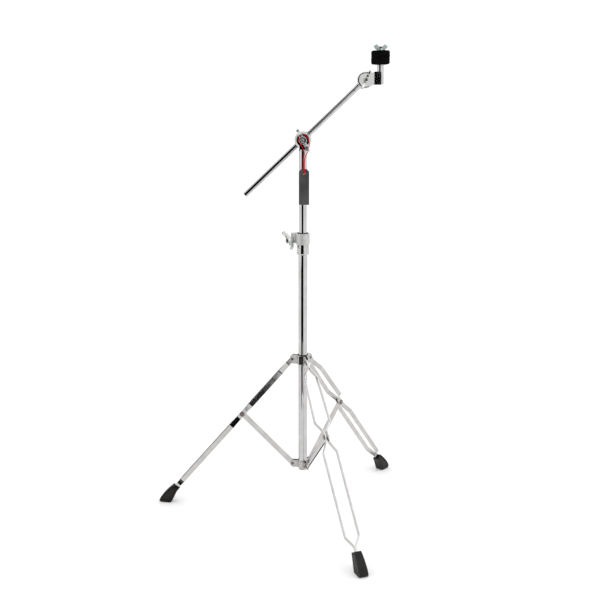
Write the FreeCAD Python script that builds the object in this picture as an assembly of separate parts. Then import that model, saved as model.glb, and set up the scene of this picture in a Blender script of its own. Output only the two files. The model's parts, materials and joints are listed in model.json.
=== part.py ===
import FreeCAD, Part
import math
import os

from FreeCAD import Placement, Rotation, Vector

# Cymbal boom stand, millimetres.  +Z is up.  The origin is on the mast axis at floor level.
# +X is the side the boom reaches out over, and -Y is the side of the wing nuts.

# ---------------------------------------------------------------- mast tubes
BASE_TUBE_R = 11.1          # 22.2 mm tube
BASE_TUBE_WALL = 1.2
BASE_TUBE_LENGTH = 575.0
PLUG_HEAD = 3.0
PLUG_DEPTH = 10.0

UPPER_TUBE_R = 9.525        # 19.05 mm tube
UPPER_TUBE_WALL = 1.2
UPPER_TUBE_LENGTH = 424.0
UPPER_TUBE_SHOWN = 197.0    # how much of it stands above the height clamp
GUIDE_HEAD = 8.0
GUIDE_SPIGOT = 15.0

FIT = 0.05                  # radial clearance of a running fit
GAP = 0.3                   # gap between faces that move past each other
CUT = 80.0                  # half length of a cutting solid, longer than what it cuts

# ---------------------------------------------------------------- tripod
LEG_AZIMUTHS = {"rear": 50.8, "left": 170.8, "front": 290.8}
LEG_ANGLE = 40.5            # from vertical, with the tripod open
LEG_LENGTH = 469.0          # from the upper pivot to the mouth of the rubber foot
UPPER_PIVOT_R = BASE_TUBE_R + 14.9
LOWER_PIVOT_R = BASE_TUBE_R + 14.4
COLLAR_SPACING = 275.0      # from the lower pivots up to the upper ones
MID_RIVET_ALONG = 198.0     # from the upper pivot down the leg

STRIP_WIDTH = 12.0
STRIP_THICKNESS = 2.2
STRIP_BEND_R = 5.0
STRIP_TAIL = 27.0           # straight end of a strip, most of it inside the rubber foot
UPPER_LOOP_START = 18.0
MID_FLAT_HALF = 14.0        # straight stretch of a strip each side of the middle rivet
UPPER_LOOP_END = MID_RIVET_ALONG - MID_FLAT_HALF
LOWER_LOOP_START = MID_RIVET_ALONG + MID_FLAT_HALF
LOWER_LOOP_END = LEG_LENGTH - 6.0
LOOP_RAMP = 24.0            # length of the slanted stretch at each end of a loop
UPPER_LOOP_HALF_TOP = 15.8
UPPER_LOOP_HALF_BOTTOM = 19.2
LOWER_LOOP_HALF = 17.2

BRACE_WIDTH = 12.7
BRACE_CHANNEL = 5.6         # outside, across the leg's plane
BRACE_WALL = 1.3
RIVET_R = 2.5
RIVET_HEAD_R = 4.2
RIVET_HEAD_H = 1.6
PIVOT_PLAY = 0.6            # play of the legs' holes on the upper collar's rivets
PIVOT_SIDE_PLAY = 0.35      # sideways play of the legs in the upper collar
MID_WASHER_R = 6.4
MID_WASHER_T = 0.8

# ---------------------------------------------------------------- rubber feet
FOOT_RISE = 45.37           # height of the foot's mouth above the floor
FOOT_MOUTH_HALF = 8.8
FOOT_TOP_HALF_T = 9.3
FOOT_SOLE_HALF_T = 11.4
FOOT_SOLE_START = 17.4      # sole's ends, outward from the mouth
FOOT_SOLE_END = 44.4
FOOT_EDGE = 2.0

FOOT_MOUTH_R = UPPER_PIVOT_R + LEG_LENGTH * math.sin(math.radians(LEG_ANGLE))
FOOT_SOLE_INNER_R = FOOT_MOUTH_R + FOOT_SOLE_START
FOOT_SOLE_OUTER_R = FOOT_MOUTH_R + FOOT_SOLE_END
UPPER_PIVOT_Z = FOOT_RISE + LEG_LENGTH * math.cos(math.radians(LEG_ANGLE))
LOWER_PIVOT_Z = UPPER_PIVOT_Z - COLLAR_SPACING

# ---------------------------------------------------------------- collars
COLLAR_PLATE_T = 1.8
UPPER_COLLAR_HALF_H = 11.5
LOWER_COLLAR_HALF_H = 9.5
COLLAR_BUSH_T = 1.6
COLLAR_BUSH_FIT = 0.35      # the bush slides on the base tube
COLLAR_FLANGE_REACH = 6.5   # flange beyond the pivot
COLLAR_PAD_WIDTH = 13.0
COLLAR_PAD_HEIGHT = 1.2     # how far a flat pad stands off the pressed plate
COLLAR_PADS = {"rear": 44.0, "left": 85.2, "front": 85.2}   # from the leg before each pad
LOCK_SCREW_PAD = "rear"     # the pad that carries the locking screw
LOCK_SCREW_R = 4.0
LOCK_NUT_HALF = 5.5
LOCK_NUT_T = 5.0

BASE_TUBE_BOTTOM = LOWER_PIVOT_Z - LOWER_COLLAR_HALF_H - 1.5
BASE_TUBE_TOP = BASE_TUBE_BOTTOM + BASE_TUBE_LENGTH

# ---------------------------------------------------------------- height clamp
CLAMP_SLEEVE_BOTTOM = BASE_TUBE_TOP - 26.0
CLAMP_SPLIT_BOTTOM = BASE_TUBE_TOP + 0.5
CLAMP_TOP = CLAMP_SPLIT_BOTTOM + 25.5
CLAMP_SLEEVE_R = BASE_TUBE_R + 3.9
CLAMP_RING_R = BASE_TUBE_R + 5.5
CLAMP_BUSH_STEP = 1.0       # the bush is this much wider than the clamp's lower bore
CLAMP_BUSH_FLANGE = 1.6
CLAMP_EAR_AZIMUTH = 120.0
CLAMP_EAR_HALF = CLAMP_RING_R - 0.4
CLAMP_SLIT = 2.4
CLAMP_BOLT_R = 4.0
CLAMP_BOLT_OFFSET = CLAMP_RING_R + CLAMP_BOLT_R + 1.4
CLAMP_BOLT_DROP = 5.7       # bolt below the middle of the ears
CLAMP_EAR_REACH = CLAMP_BOLT_OFFSET + 8.0
CLAMP_BOLT_HEAD_R = 7.2
CLAMP_BOLT_HEAD_H = 4.5
CLAMP_WING_TURN = 51.0

UPPER_TUBE_TOP = CLAMP_TOP + UPPER_TUBE_SHOWN
UPPER_TUBE_BOTTOM = UPPER_TUBE_TOP - UPPER_TUBE_LENGTH

# ---------------------------------------------------------------- wing nuts
BIG_WING_TIP = 30.8
BIG_WING_HUB_R = 8.6
BIG_WING_HUB_H = 15.0
BIG_WING_T = 8.0
CLAMP_WING_DROP = 3.0       # height of the wings' roots above the nut's base
TILT_WING_DROP = 5.8
SMALL_WING_TIP = 21.5
SMALL_WING_HUB_R = 6.2
SMALL_WING_HUB_H = 11.0
SMALL_WING_T = 4.0
SMALL_WING_DROP = 4.5
LOCK_WING_DROP = 3.0

# ---------------------------------------------------------------- boom
BOOM_R = 6.35               # 12.7 mm rod
BOOM_ANGLE = 43.4           # above the horizontal
BOOM_REAR = 192.0
BOOM_Y = UPPER_TUBE_R + BOOM_R + 1.125
SLEEVE_WALL = 0.8
SLEEVE_LENGTH = 40.0
CYMBAL_TILT_ALONG = 201.3   # from the boom tilter to the cymbal tilter
BOOM_PIN_ALONG = 166.0
BOOM_PIN_R = 1.5

# ---------------------------------------------------------------- boom tilter
TILT_Z = UPPER_TUBE_TOP + 25.2
POST_FRONT_Y = -7.0
POST_BACK_Y = 2.0
POST_DISC_R = 15.3
POST_NECK_HALF = 8.5
POST_SPIGOT = 24.0
FRICTION_DISC_T = 0.9
HOLDER_DISC_R = 20.0
HOLDER_DISC_BACK_Y = BOOM_Y - BOOM_R - 1.65
HOLDER_BARREL_R = BOOM_R + 3.85
HOLDER_BARREL_LENGTH = 34.0
EYE_WIDTH = 9.0
EYE_WALL = 3.4
TILT_BOLT_R = 4.0
TILT_BOLT_END_Y = POST_FRONT_Y - 14.5
TILT_WASHER_R = 8.2
TILT_WASHER_T = 1.0
TILT_WING_TURN = -61.7      # wings, from +X towards +Z

# ---------------------------------------------------------------- cymbal tilter
CYMBAL_TILT_X = CYMBAL_TILT_ALONG * math.cos(math.radians(BOOM_ANGLE))
CYMBAL_TILT_Z = TILT_Z + CYMBAL_TILT_ALONG * math.sin(math.radians(BOOM_ANGLE))
SOCKET_R = 19.25
SOCKET_WALL = 1.15          # cover over the boom rod, each side
SOCKET_FRONT_Y = BOOM_Y - BOOM_R - SOCKET_WALL
SOCKET_BACK_Y = BOOM_Y + BOOM_R + SOCKET_WALL
SOCKET_BORE_DEPTH = 13.0
SOCKET_EDGE = 2.0
SOCKET_THROAT_WALL = 0.9
ARM_T = 12.2
ARM_FRONT_Y = SOCKET_FRONT_Y - GAP - ARM_T
ARM_DISC_R = 15.5
ARM_BLOCK_X = CYMBAL_TILT_X + 27.74     # centre of the block that grips the cymbal post
ARM_BLOCK_HALF_X = 8.0
ARM_BLOCK_GRIP = 2.0        # how far the block's flat face runs past the post's axis
ARM_BLOCK_BOTTOM = CYMBAL_TILT_Z - 11.0
ARM_BLOCK_TOP = CYMBAL_TILT_Z + 19.0
ARM_BLOCK_FRONT_Y = ARM_FRONT_Y - 3.5
CYMBAL_BOLT_R = 3.0
CYMBAL_BOLT_END_Y = ARM_FRONT_Y - 10.0
CYMBAL_BOLT_HEAD_R = 6.0
CYMBAL_BOLT_HEAD_H = 3.5
CYMBAL_WING_TURN = 65.6

# ---------------------------------------------------------------- cymbal post
POST_X = ARM_BLOCK_X + 6.3
POST_Y = ARM_FRONT_Y + 6.0
POST_R = 8.3
POST_BOTTOM = ARM_BLOCK_BOTTOM + 0.5
POST_TOP = ARM_BLOCK_TOP + 14.9
CYMBAL_ROD_R = 4.0          # M8 thread
CYMBAL_ROD_ABOVE = 8.9      # thread above the felts
CYMBAL_ROD_DEPTH = 30.0     # how far the threaded rod runs down into the post
SEAT_R = 13.0
SEAT_T = 1.2
FELT_R = 21.5
FELT_H = 16.0
FELT_EDGE = 1.6
CYMBAL_SLEEVE_R = 6.2
TOP_NUT_TIP = 15.2
TOP_NUT_HUB_R = 6.2
TOP_NUT_HUB_H = 7.0
TOP_NUT_RISE = 13.5
TOP_NUT_T = 3.0

FELT_BOTTOM = POST_TOP + SEAT_T
FELT_MIDDLE = FELT_BOTTOM + FELT_H
FELT_TOP = FELT_MIDDLE + FELT_H
CYMBAL_ROD_TOP = FELT_TOP + CYMBAL_ROD_ABOVE

# ---------------------------------------------------------------- hang tag and its cord
CORD_R = 1.1
TAG_X = 2.6
TAG_Y = -UPPER_TUBE_R - 2.375
TAG_WIDTH = 24.5
TAG_HEIGHT = 85.0
TAG_TOP = TILT_Z - 67.2
TAG_BOTTOM = TAG_TOP - TAG_HEIGHT
TAG_T = 1.0
TAG_CHAMFER = 6.0
TAG_HOLE_R = 3.5
TAG_HOLE_Z = TAG_TOP - 10.5
CORD_POINTS = [
    (1.4, -11.9, 861.0), (1.3, -13.7, 864.2), (0.9, -13.8, 873.0), (0.7, -13.5, 886.0),
    (1.1, -12.6, 899.0), (2.0, -11.4, 909.0), (0.0, -10.9, 919.0), (-7.2, -10.9, 926.5),
    (-12.4, -10.9, 934.5), (-12.6, -10.9, 943.4), (-7.4, -10.9, 950.6), (1.0, -10.9, 952.6),
    (9.0, -10.9, 949.0), (12.8, -10.9, 941.4), (12.2, -10.9, 932.0), (9.4, -10.9, 921.0),
    (6.6, -11.4, 910.0), (4.4, -12.6, 899.0), (3.7, -13.5, 886.0), (3.9, -13.8, 873.0),
    (3.9, -13.7, 864.2), (3.8, -11.9, 861.0),
]


def save(name, shape):
    shape.exportStep("parts/" + name + ".step")


def cylinder(radius, start, end):
    axis = end - start
    return Part.makeCylinder(radius, axis.Length, start, axis)


def tube(outer, inner, start, end):
    return cylinder(outer, start, end).cut(cylinder(inner, start, end))


def box(low, high):
    size = high - low
    return Part.makeBox(size.x, size.y, size.z, low)


def turned(shape, degrees, axis=Vector(0, 0, 1), centre=Vector(0, 0, 0)):
    copy = shape.copy()
    copy.rotate(centre, axis, degrees)
    return copy


def moved(shape, offset):
    copy = shape.copy()
    copy.translate(offset)
    return copy


def line(start, end):
    return Part.LineSegment(start, end).toShape()


def arc(start, middle, end):
    return Part.Arc(start, middle, end).toShape()


def outline(start, steps):
    """Face inside a closed outline.  A step is an end point, or a pair (middle, end) for an arc."""
    edges = []
    here = start
    for step in steps:
        if isinstance(step, tuple):
            edges.append(arc(here, step[0], step[1]))
            here = step[1]
        else:
            edges.append(line(here, step))
            here = step
    if (here - start).Length > 1e-6:
        edges.append(line(here, start))
    return Part.Face(Part.Wire(edges))


def rounded_polygon(points, radius):
    """Face of a polygon whose corners are rounded with one radius."""
    edges = []
    count = len(points)
    ends = []
    for i in range(count):
        before = (points[i] - points[i - 1]).normalize()
        after = (points[(i + 1) % count] - points[i]).normalize()
        turn = before.getAngle(after)
        cut = radius * math.tan(turn / 2)
        first = points[i] - before * cut
        last = points[i] + after * cut
        inward = (after - before).normalize()
        middle = points[i] + inward * (radius / math.cos(turn / 2) - radius)
        ends.append((first, middle, last))
    for i in range(count):
        first, middle, last = ends[i]
        edges.append(arc(first, middle, last))
        edges.append(line(last, ends[(i + 1) % count][0]))
    return Part.Face(Part.Wire(edges))


def ribbon(points, radius, thickness):
    """Face of a bent strip of constant thickness, drawn in the XY plane."""
    half = thickness / 2

    def side(sign):
        edges = []
        direction = (points[1] - points[0]).normalize()
        here = points[0] + Vector(-direction.y, direction.x, 0) * sign * half
        first = here
        for i in range(1, len(points) - 1):
            before = (points[i] - points[i - 1]).normalize()
            after = (points[i + 1] - points[i]).normalize()
            turn = math.atan2(before.cross(after).z, before.dot(after))
            hand = 1 if turn > 0 else -1
            cut = radius * math.tan(abs(turn) / 2)
            left_before = Vector(-before.y, before.x, 0)
            left_after = Vector(-after.y, after.x, 0)
            start = points[i] - before * cut
            end = points[i] + after * cut
            centre = start + left_before * radius * hand
            reach = radius - hand * sign * half
            outward = (points[i] - centre).normalize()
            bend_start = start + left_before * sign * half
            bend_end = end + left_after * sign * half
            edges.append(line(here, bend_start))
            edges.append(arc(bend_start, centre + outward * reach, bend_end))
            here = bend_end
        direction = (points[-1] - points[-2]).normalize()
        last = points[-1] + Vector(-direction.y, direction.x, 0) * sign * half
        edges.append(line(here, last))
        return edges, first, last

    left, left_first, left_last = side(1)
    right, right_first, right_last = side(-1)
    edges = left + [line(left_last, right_last)] + right + [line(right_first, left_first)]
    return Part.Face(Part.Wire(Part.__sortEdges__(edges)))


def rounded_cord(points, radius):
    """Tube along straight runs joined by tangent arcs, each as large as its runs allow."""
    points = [Vector(*p) for p in points]
    edges = []
    radii = []
    here = points[0]
    for i in range(1, len(points) - 1):
        before = points[i] - points[i - 1]
        after = points[i + 1] - points[i]
        turn = before.getAngle(after)
        cut = 0.45 * min(before.Length, after.Length)
        radii.append(round(cut / math.tan(turn / 2), 1))
        before.normalize()
        after.normalize()
        start = points[i] - before * cut
        end = points[i] + after * cut
        bend = cut / math.tan(turn / 2)
        inward = (after - before).normalize()
        middle = points[i] + inward * (bend / math.cos(turn / 2) - bend)
        edges.append(line(here, start))
        edges.append(arc(start, middle, end))
        here = end
    edges.append(line(here, points[-1]))
    path = Part.Wire(edges)
    ring = Part.Wire(Part.Circle(points[0], points[1] - points[0], radius).toShape())
    solid = path.makePipeShell([ring], True, False)
    print("cord length", round(path.Length, 1), "bend radii", radii)
    print("cord volume ratio", round(solid.Volume / (math.pi * radius ** 2 * path.Length), 4))
    return solid


def rivet(start, end, shank_r=RIVET_R):
    """Domed rivet with a head beyond each end of the grip."""
    axis = (end - start).normalize()
    shape = cylinder(shank_r, start, end)
    for point, outward in ((start, axis * -1), (end, axis)):
        head = Part.makeCone(RIVET_HEAD_R, RIVET_HEAD_R * 0.6, RIVET_HEAD_H, point, outward)
        shape = shape.fuse(head)
    return shape.removeSplitter()


def wing_nut(tip, hub_r, hub_h, thickness, bore_r, rise, drop):
    """Cast wing nut.  Axis +Z, base at z 0, wings along X; drop is where the wings leave the hub."""
    low = Vector(0, 0, drop)
    root = Vector(tip * 0.42, 0, drop + rise * 0.05)
    knee = Vector(tip * 0.74, 0, drop + rise * 0.22)
    toe = Vector(tip, 0, rise * 0.82)
    crown = Vector(tip * 0.86, 0, rise)
    back = Vector(tip * 0.52, 0, rise * 0.72)
    neck = Vector(0, 0, hub_h * 0.92)
    corner = Vector(tip * 0.97, 0, rise * 0.97)
    face = outline(low, [root, (knee, toe), (corner, crown), (back, neck)])
    wing = face.extrude(Vector(0, thickness, 0))
    wing = moved(wing, Vector(0, -thickness / 2, 0))
    taper = Part.makeCone(tip * 0.56 + thickness, thickness * 0.5, tip * 1.5, Vector(0, 0, 0),
                          Vector(1, 0, 0))
    wing = wing.common(taper.fuse(box(Vector(0, -thickness, 0), Vector(hub_r, thickness, rise * 2))))
    nut = Part.makeCone(hub_r, hub_r * 0.86, hub_h)
    nut = nut.fuse(wing).fuse(turned(wing, 180))
    nut = nut.cut(Part.makeCylinder(bore_r, hub_h * 2, Vector(0, 0, -1)))
    return nut.removeSplitter()


def along(direction, base, shape, wing_direction):
    """Stand a +Z shape up along direction at base, with its +X turned to wing_direction."""
    z_axis = Vector(direction).normalize()
    x_axis = Vector(wing_direction).normalize()
    y_axis = z_axis.cross(x_axis)
    placed = shape.copy()
    placed.Placement = Placement(base, Rotation(x_axis, y_axis, z_axis, "ZXY"))
    return placed


def radial(degrees):
    angle = math.radians(degrees)
    return Vector(math.cos(angle), math.sin(angle), 0)


# ================================================================ mast base
def make_base_tube():
    inner = BASE_TUBE_R - BASE_TUBE_WALL
    return tube(BASE_TUBE_R, inner, Vector(0, 0, BASE_TUBE_BOTTOM), Vector(0, 0, BASE_TUBE_TOP))


def make_base_tube_plug():
    inner = BASE_TUBE_R - BASE_TUBE_WALL
    head = Part.makeCone(BASE_TUBE_R * 0.85, BASE_TUBE_R, PLUG_HEAD,
                         Vector(0, 0, BASE_TUBE_BOTTOM - PLUG_HEAD))
    stem = Part.makeCylinder(inner, PLUG_DEPTH, Vector(0, 0, BASE_TUBE_BOTTOM))
    return head.fuse(stem).removeSplitter()


def collar_plate(ring_r, half_gap, half_height, pivot_r, centre_z, first_leg, pad_turn=None):
    """Pressed plate that wraps one third of the tube, with a flange beside each of two legs."""
    reach = pivot_r + COLLAR_FLANGE_REACH
    outer_r = ring_r + COLLAR_PLATE_T
    height = 2 * half_height
    low = Vector(0, 0, centre_z - half_height)
    wrap = Part.makeCylinder(outer_r, height, low).cut(Part.makeCylinder(ring_r, height, low))
    wedge = outline(low, [radial(0) * CUT + low, radial(60) * CUT + low, radial(120) * CUT + low])
    wrap = wrap.common(wedge.extrude(Vector(0, 0, height)))
    flange_start = math.sqrt(ring_r ** 2 - (half_gap + COLLAR_PLATE_T) ** 2)
    side = outline(Vector(flange_start, 0, centre_z - half_height), [
        Vector(pivot_r - 2, 0, centre_z - half_height),
        (Vector(reach, 0, centre_z), Vector(pivot_r - 2, 0, centre_z + half_height)),
        Vector(flange_start, 0, centre_z + half_height)])
    flange = moved(side.extrude(Vector(0, COLLAR_PLATE_T, 0)), Vector(0, half_gap, 0))
    mirror_flange = moved(side.extrude(Vector(0, -COLLAR_PLATE_T, 0)), Vector(0, -half_gap, 0))
    keep_out = box(Vector(0, -half_gap, low.z), Vector(CUT, half_gap, low.z + height))
    plate = wrap.cut(keep_out).cut(turned(keep_out, 120))
    plate = plate.fuse(flange).fuse(turned(mirror_flange, 120))
    if pad_turn is not None:
        slab = box(Vector(0, -COLLAR_PAD_WIDTH / 2, low.z + 1),
                   Vector(outer_r + COLLAR_PAD_HEIGHT, COLLAR_PAD_WIDTH / 2, low.z + height - 1))
        plate = plate.fuse(turned(slab, pad_turn))
    plate = plate.cut(Part.makeCylinder(ring_r, height, low)).removeSplitter()
    return turned(plate, first_leg)


def pivot_pin_line(azimuth, pivot_r, centre_z, half_gap):
    """Ends of a pivot rivet's grip through the two flanges at one leg."""
    across = radial(azimuth + 90)
    middle = radial(azimuth) * pivot_r + Vector(0, 0, centre_z)
    grip = half_gap + COLLAR_PLATE_T
    return middle - across * grip, middle + across * grip


def hole_at(azimuth, pivot_r, centre_z, radius):
    across = radial(azimuth + 90)
    middle = radial(azimuth) * pivot_r + Vector(0, 0, centre_z)
    return cylinder(radius, middle - across * CUT / 2, middle + across * CUT / 2)


LOWER_HALF_GAP = BRACE_CHANNEL / 2 + 0.15
UPPER_HALF_GAP = STRIP_THICKNESS + PIVOT_SIDE_PLAY
UPPER_RING_R = BASE_TUBE_R + COLLAR_BUSH_FIT + COLLAR_BUSH_T


def make_lower_collar():
    plates = []
    for azimuth in LEG_AZIMUTHS.values():
        plate = collar_plate(BASE_TUBE_R, LOWER_HALF_GAP, LOWER_COLLAR_HALF_H, LOWER_PIVOT_R,
                             LOWER_PIVOT_Z, azimuth)
        for leg in LEG_AZIMUTHS.values():
            plate = plate.cut(hole_at(leg, LOWER_PIVOT_R, LOWER_PIVOT_Z, RIVET_R))
        plates.append(plate)
    return plates


def make_lower_collar_rivets():
    rivets = []
    for azimuth in LEG_AZIMUTHS.values():
        start, end = pivot_pin_line(azimuth, LOWER_PIVOT_R, LOWER_PIVOT_Z, LOWER_HALF_GAP)
        rivets.append(rivet(start, end))
    return Part.makeCompound(rivets)


def make_height_clamp_body():
    bore_r = BASE_TUBE_R + FIT
    profile = outline(Vector(bore_r, 0, CLAMP_SLEEVE_BOTTOM), [
        Vector(CLAMP_SLEEVE_R - 2.0, 0, CLAMP_SLEEVE_BOTTOM),
        (Vector(CLAMP_SLEEVE_R - 0.5, 0, CLAMP_SLEEVE_BOTTOM + 1.5),
         Vector(CLAMP_SLEEVE_R, 0, CLAMP_SLEEVE_BOTTOM + 6)),
        Vector(CLAMP_SLEEVE_R, 0, CLAMP_SPLIT_BOTTOM - 1.5),
        Vector(CLAMP_RING_R, 0, CLAMP_SPLIT_BOTTOM),
        Vector(CLAMP_RING_R, 0, CLAMP_TOP - 1.2),
        Vector(CLAMP_RING_R - 1.2, 0, CLAMP_TOP),
        Vector(bore_r, 0, CLAMP_TOP)])
    body = profile.revolve(Vector(0, 0, 0), Vector(0, 0, 1), 360)
    low = CLAMP_SPLIT_BOTTOM + 0.5
    high = CLAMP_TOP - 0.5
    ear_points = [Vector(8, -CLAMP_EAR_HALF, low), Vector(CLAMP_EAR_REACH, -CLAMP_EAR_HALF, low),
                  Vector(CLAMP_EAR_REACH, -CLAMP_EAR_HALF, high), Vector(8, -CLAMP_EAR_HALF, high)]
    ears = rounded_polygon(ear_points, 5.0).extrude(Vector(0, 2 * CLAMP_EAR_HALF, 0))
    body = body.fuse(turned(ears, CLAMP_EAR_AZIMUTH))
    bush_r = bore_r + CLAMP_BUSH_STEP
    body = body.cut(Part.makeCylinder(bush_r, CLAMP_TOP, Vector(0, 0, CLAMP_SPLIT_BOTTOM)))
    body = body.cut(Part.makeCylinder(bore_r, CLAMP_TOP, Vector(0, 0, 0)))
    slit = box(Vector(0, -CLAMP_SLIT / 2, CLAMP_SPLIT_BOTTOM),
               Vector(CLAMP_EAR_REACH + 1, CLAMP_SLIT / 2, CLAMP_TOP + 1))
    body = body.cut(turned(slit, CLAMP_EAR_AZIMUTH))
    start, end = clamp_bolt_ends()
    return body.cut(cylinder(CLAMP_BOLT_R, start, end)).removeSplitter()


def clamp_bolt_middle():
    height = (CLAMP_SPLIT_BOTTOM + CLAMP_TOP) / 2 - CLAMP_BOLT_DROP
    return radial(CLAMP_EAR_AZIMUTH) * CLAMP_BOLT_OFFSET + Vector(0, 0, height)


def clamp_bolt_ends():
    axis = radial(CLAMP_EAR_AZIMUTH + 90)
    middle = clamp_bolt_middle()
    nut_top = CLAMP_EAR_HALF + GAP + BIG_WING_HUB_H
    return middle - axis * CLAMP_EAR_HALF, middle + axis * (nut_top - 1.5)


def make_height_clamp_bush():
    inner = UPPER_TUBE_R + FIT
    outer = BASE_TUBE_R + FIT + CLAMP_BUSH_STEP
    bush = tube(outer, inner, Vector(0, 0, CLAMP_SPLIT_BOTTOM), Vector(0, 0, CLAMP_TOP))
    flange = tube(outer + 1.2, inner, Vector(0, 0, CLAMP_TOP),
                  Vector(0, 0, CLAMP_TOP + CLAMP_BUSH_FLANGE))
    slit = box(Vector(0, -CLAMP_SLIT / 4, CLAMP_SPLIT_BOTTOM),
               Vector(CUT, CLAMP_SLIT / 4, CLAMP_TOP + CLAMP_BUSH_FLANGE))
    return bush.fuse(flange).cut(turned(slit, CLAMP_EAR_AZIMUTH)).removeSplitter()


def make_height_clamp_bolt():
    start, end = clamp_bolt_ends()
    axis = (end - start).normalize()
    shank = cylinder(CLAMP_BOLT_R, start, end)
    head = Part.makeCone(CLAMP_BOLT_HEAD_R, CLAMP_BOLT_HEAD_R * 0.75, CLAMP_BOLT_HEAD_H, start,
                         axis * -1)
    return shank.fuse(head).removeSplitter()


def make_big_wing_nut(base, axis, wings, screw_r, drop):
    nut = wing_nut(BIG_WING_TIP, BIG_WING_HUB_R, BIG_WING_HUB_H, BIG_WING_T, screw_r + FIT,
                   BIG_WING_HUB_H * 1.3, drop)
    return along(axis, base, nut, wings)


def make_height_clamp_wing_nut():
    axis = radial(CLAMP_EAR_AZIMUTH + 90)
    base = clamp_bolt_middle() + axis * (CLAMP_EAR_HALF + GAP)
    turn = math.radians(CLAMP_WING_TURN)
    wings = Vector(0, 0, math.cos(turn)) + radial(CLAMP_EAR_AZIMUTH) * math.sin(turn)
    return make_big_wing_nut(base, axis, wings, CLAMP_BOLT_R, CLAMP_WING_DROP)


# ================================================================ legs and braces
def mid_rivet():
    """Radius and height of the rivet that joins a leg and its brace."""
    angle = math.radians(LEG_ANGLE)
    return (UPPER_PIVOT_R + MID_RIVET_ALONG * math.sin(angle),
            UPPER_PIVOT_Z - MID_RIVET_ALONG * math.cos(angle))


MID_R, MID_Z = mid_rivet()
BRACE_LENGTH = math.hypot(MID_R - LOWER_PIVOT_R, MID_Z - LOWER_PIVOT_Z)
BRACE_ANGLE = math.degrees(math.atan2(MID_R - LOWER_PIVOT_R, MID_Z - LOWER_PIVOT_Z))
MID_HALF = BRACE_CHANNEL / 2 + 0.15 + STRIP_THICKNESS / 2


def leg_placement(azimuth):
    """From leg coordinates (along the leg, across it, outward) to the stand."""
    tilt = Rotation(Vector(0, 1, 0), 90 - LEG_ANGLE)
    spin = Rotation(Vector(0, 0, 1), azimuth)
    base = radial(azimuth) * UPPER_PIVOT_R + Vector(0, 0, UPPER_PIVOT_Z)
    return Placement(base, spin.multiply(tilt))


def place_leg(shape, azimuth):
    placed = shape.copy()
    placed.Placement = leg_placement(azimuth)
    return placed


def leg_strip(side):
    """Flat strip of a leg, side +1 or -1, in leg coordinates."""
    together = STRIP_THICKNESS / 2
    points = [
        (-STRIP_WIDTH / 2, together),
        (UPPER_LOOP_START, together),
        (UPPER_LOOP_START + LOOP_RAMP, UPPER_LOOP_HALF_TOP),
        (UPPER_LOOP_END - LOOP_RAMP, UPPER_LOOP_HALF_BOTTOM),
        (UPPER_LOOP_END, MID_HALF),
        (LOWER_LOOP_START, MID_HALF),
        (LOWER_LOOP_START + LOOP_RAMP, LOWER_LOOP_HALF),
        (LOWER_LOOP_END - LOOP_RAMP, LOWER_LOOP_HALF),
        (LOWER_LOOP_END, together),
        (LOWER_LOOP_END + STRIP_TAIL, together)]
    centre_line = [Vector(x, y * side, -STRIP_WIDTH / 2) for x, y in points]
    strip = ribbon(centre_line, STRIP_BEND_R, STRIP_THICKNESS).extrude(Vector(0, 0, STRIP_WIDTH))
    half = STRIP_WIDTH / 2
    side_view = outline(Vector(0, -CUT, half), [
        Vector(LOWER_LOOP_END + STRIP_TAIL, -CUT, half),
        Vector(LOWER_LOOP_END + STRIP_TAIL, -CUT, -half),
        Vector(0, -CUT, -half),
        (Vector(-half, -CUT, 0), Vector(0, -CUT, half))])
    strip = strip.common(side_view.extrude(Vector(0, 2 * CUT, 0)))
    for at, radius in ((0, RIVET_R + PIVOT_PLAY), (MID_RIVET_ALONG, RIVET_R)):
        strip = strip.cut(cylinder(radius, Vector(at, -CUT, 0), Vector(at, CUT, 0)))
    return strip


def make_mid_rivet():
    """Rivet and two washers at the middle of a leg, in leg coordinates."""
    grip = MID_HALF + STRIP_THICKNESS / 2
    washers = []
    for side in (-1, 1):
        inner = Vector(MID_RIVET_ALONG, side * grip, 0)
        washers.append(tube(MID_WASHER_R, RIVET_R, inner, inner + Vector(0, side * MID_WASHER_T, 0)))
    end = Vector(MID_RIVET_ALONG, grip + MID_WASHER_T, 0)
    start = Vector(MID_RIVET_ALONG, -grip - MID_WASHER_T, 0)
    shape = rivet(start, end)
    for washer in washers:
        shape = shape.fuse(washer)
    return shape.removeSplitter()


def floor_arc(start, end):
    """Arc that leaves the floor level at start and rises to end, both in the XZ plane."""
    run = end.x - start.x
    rise = end.z - start.z
    bend = (run ** 2 + rise ** 2) / (2 * rise)
    half = math.atan2(abs(run), bend - rise) / 2
    side = 1 if run > 0 else -1
    return start + Vector(side * bend * math.sin(half), 0, bend * (1 - math.cos(half)))


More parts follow.
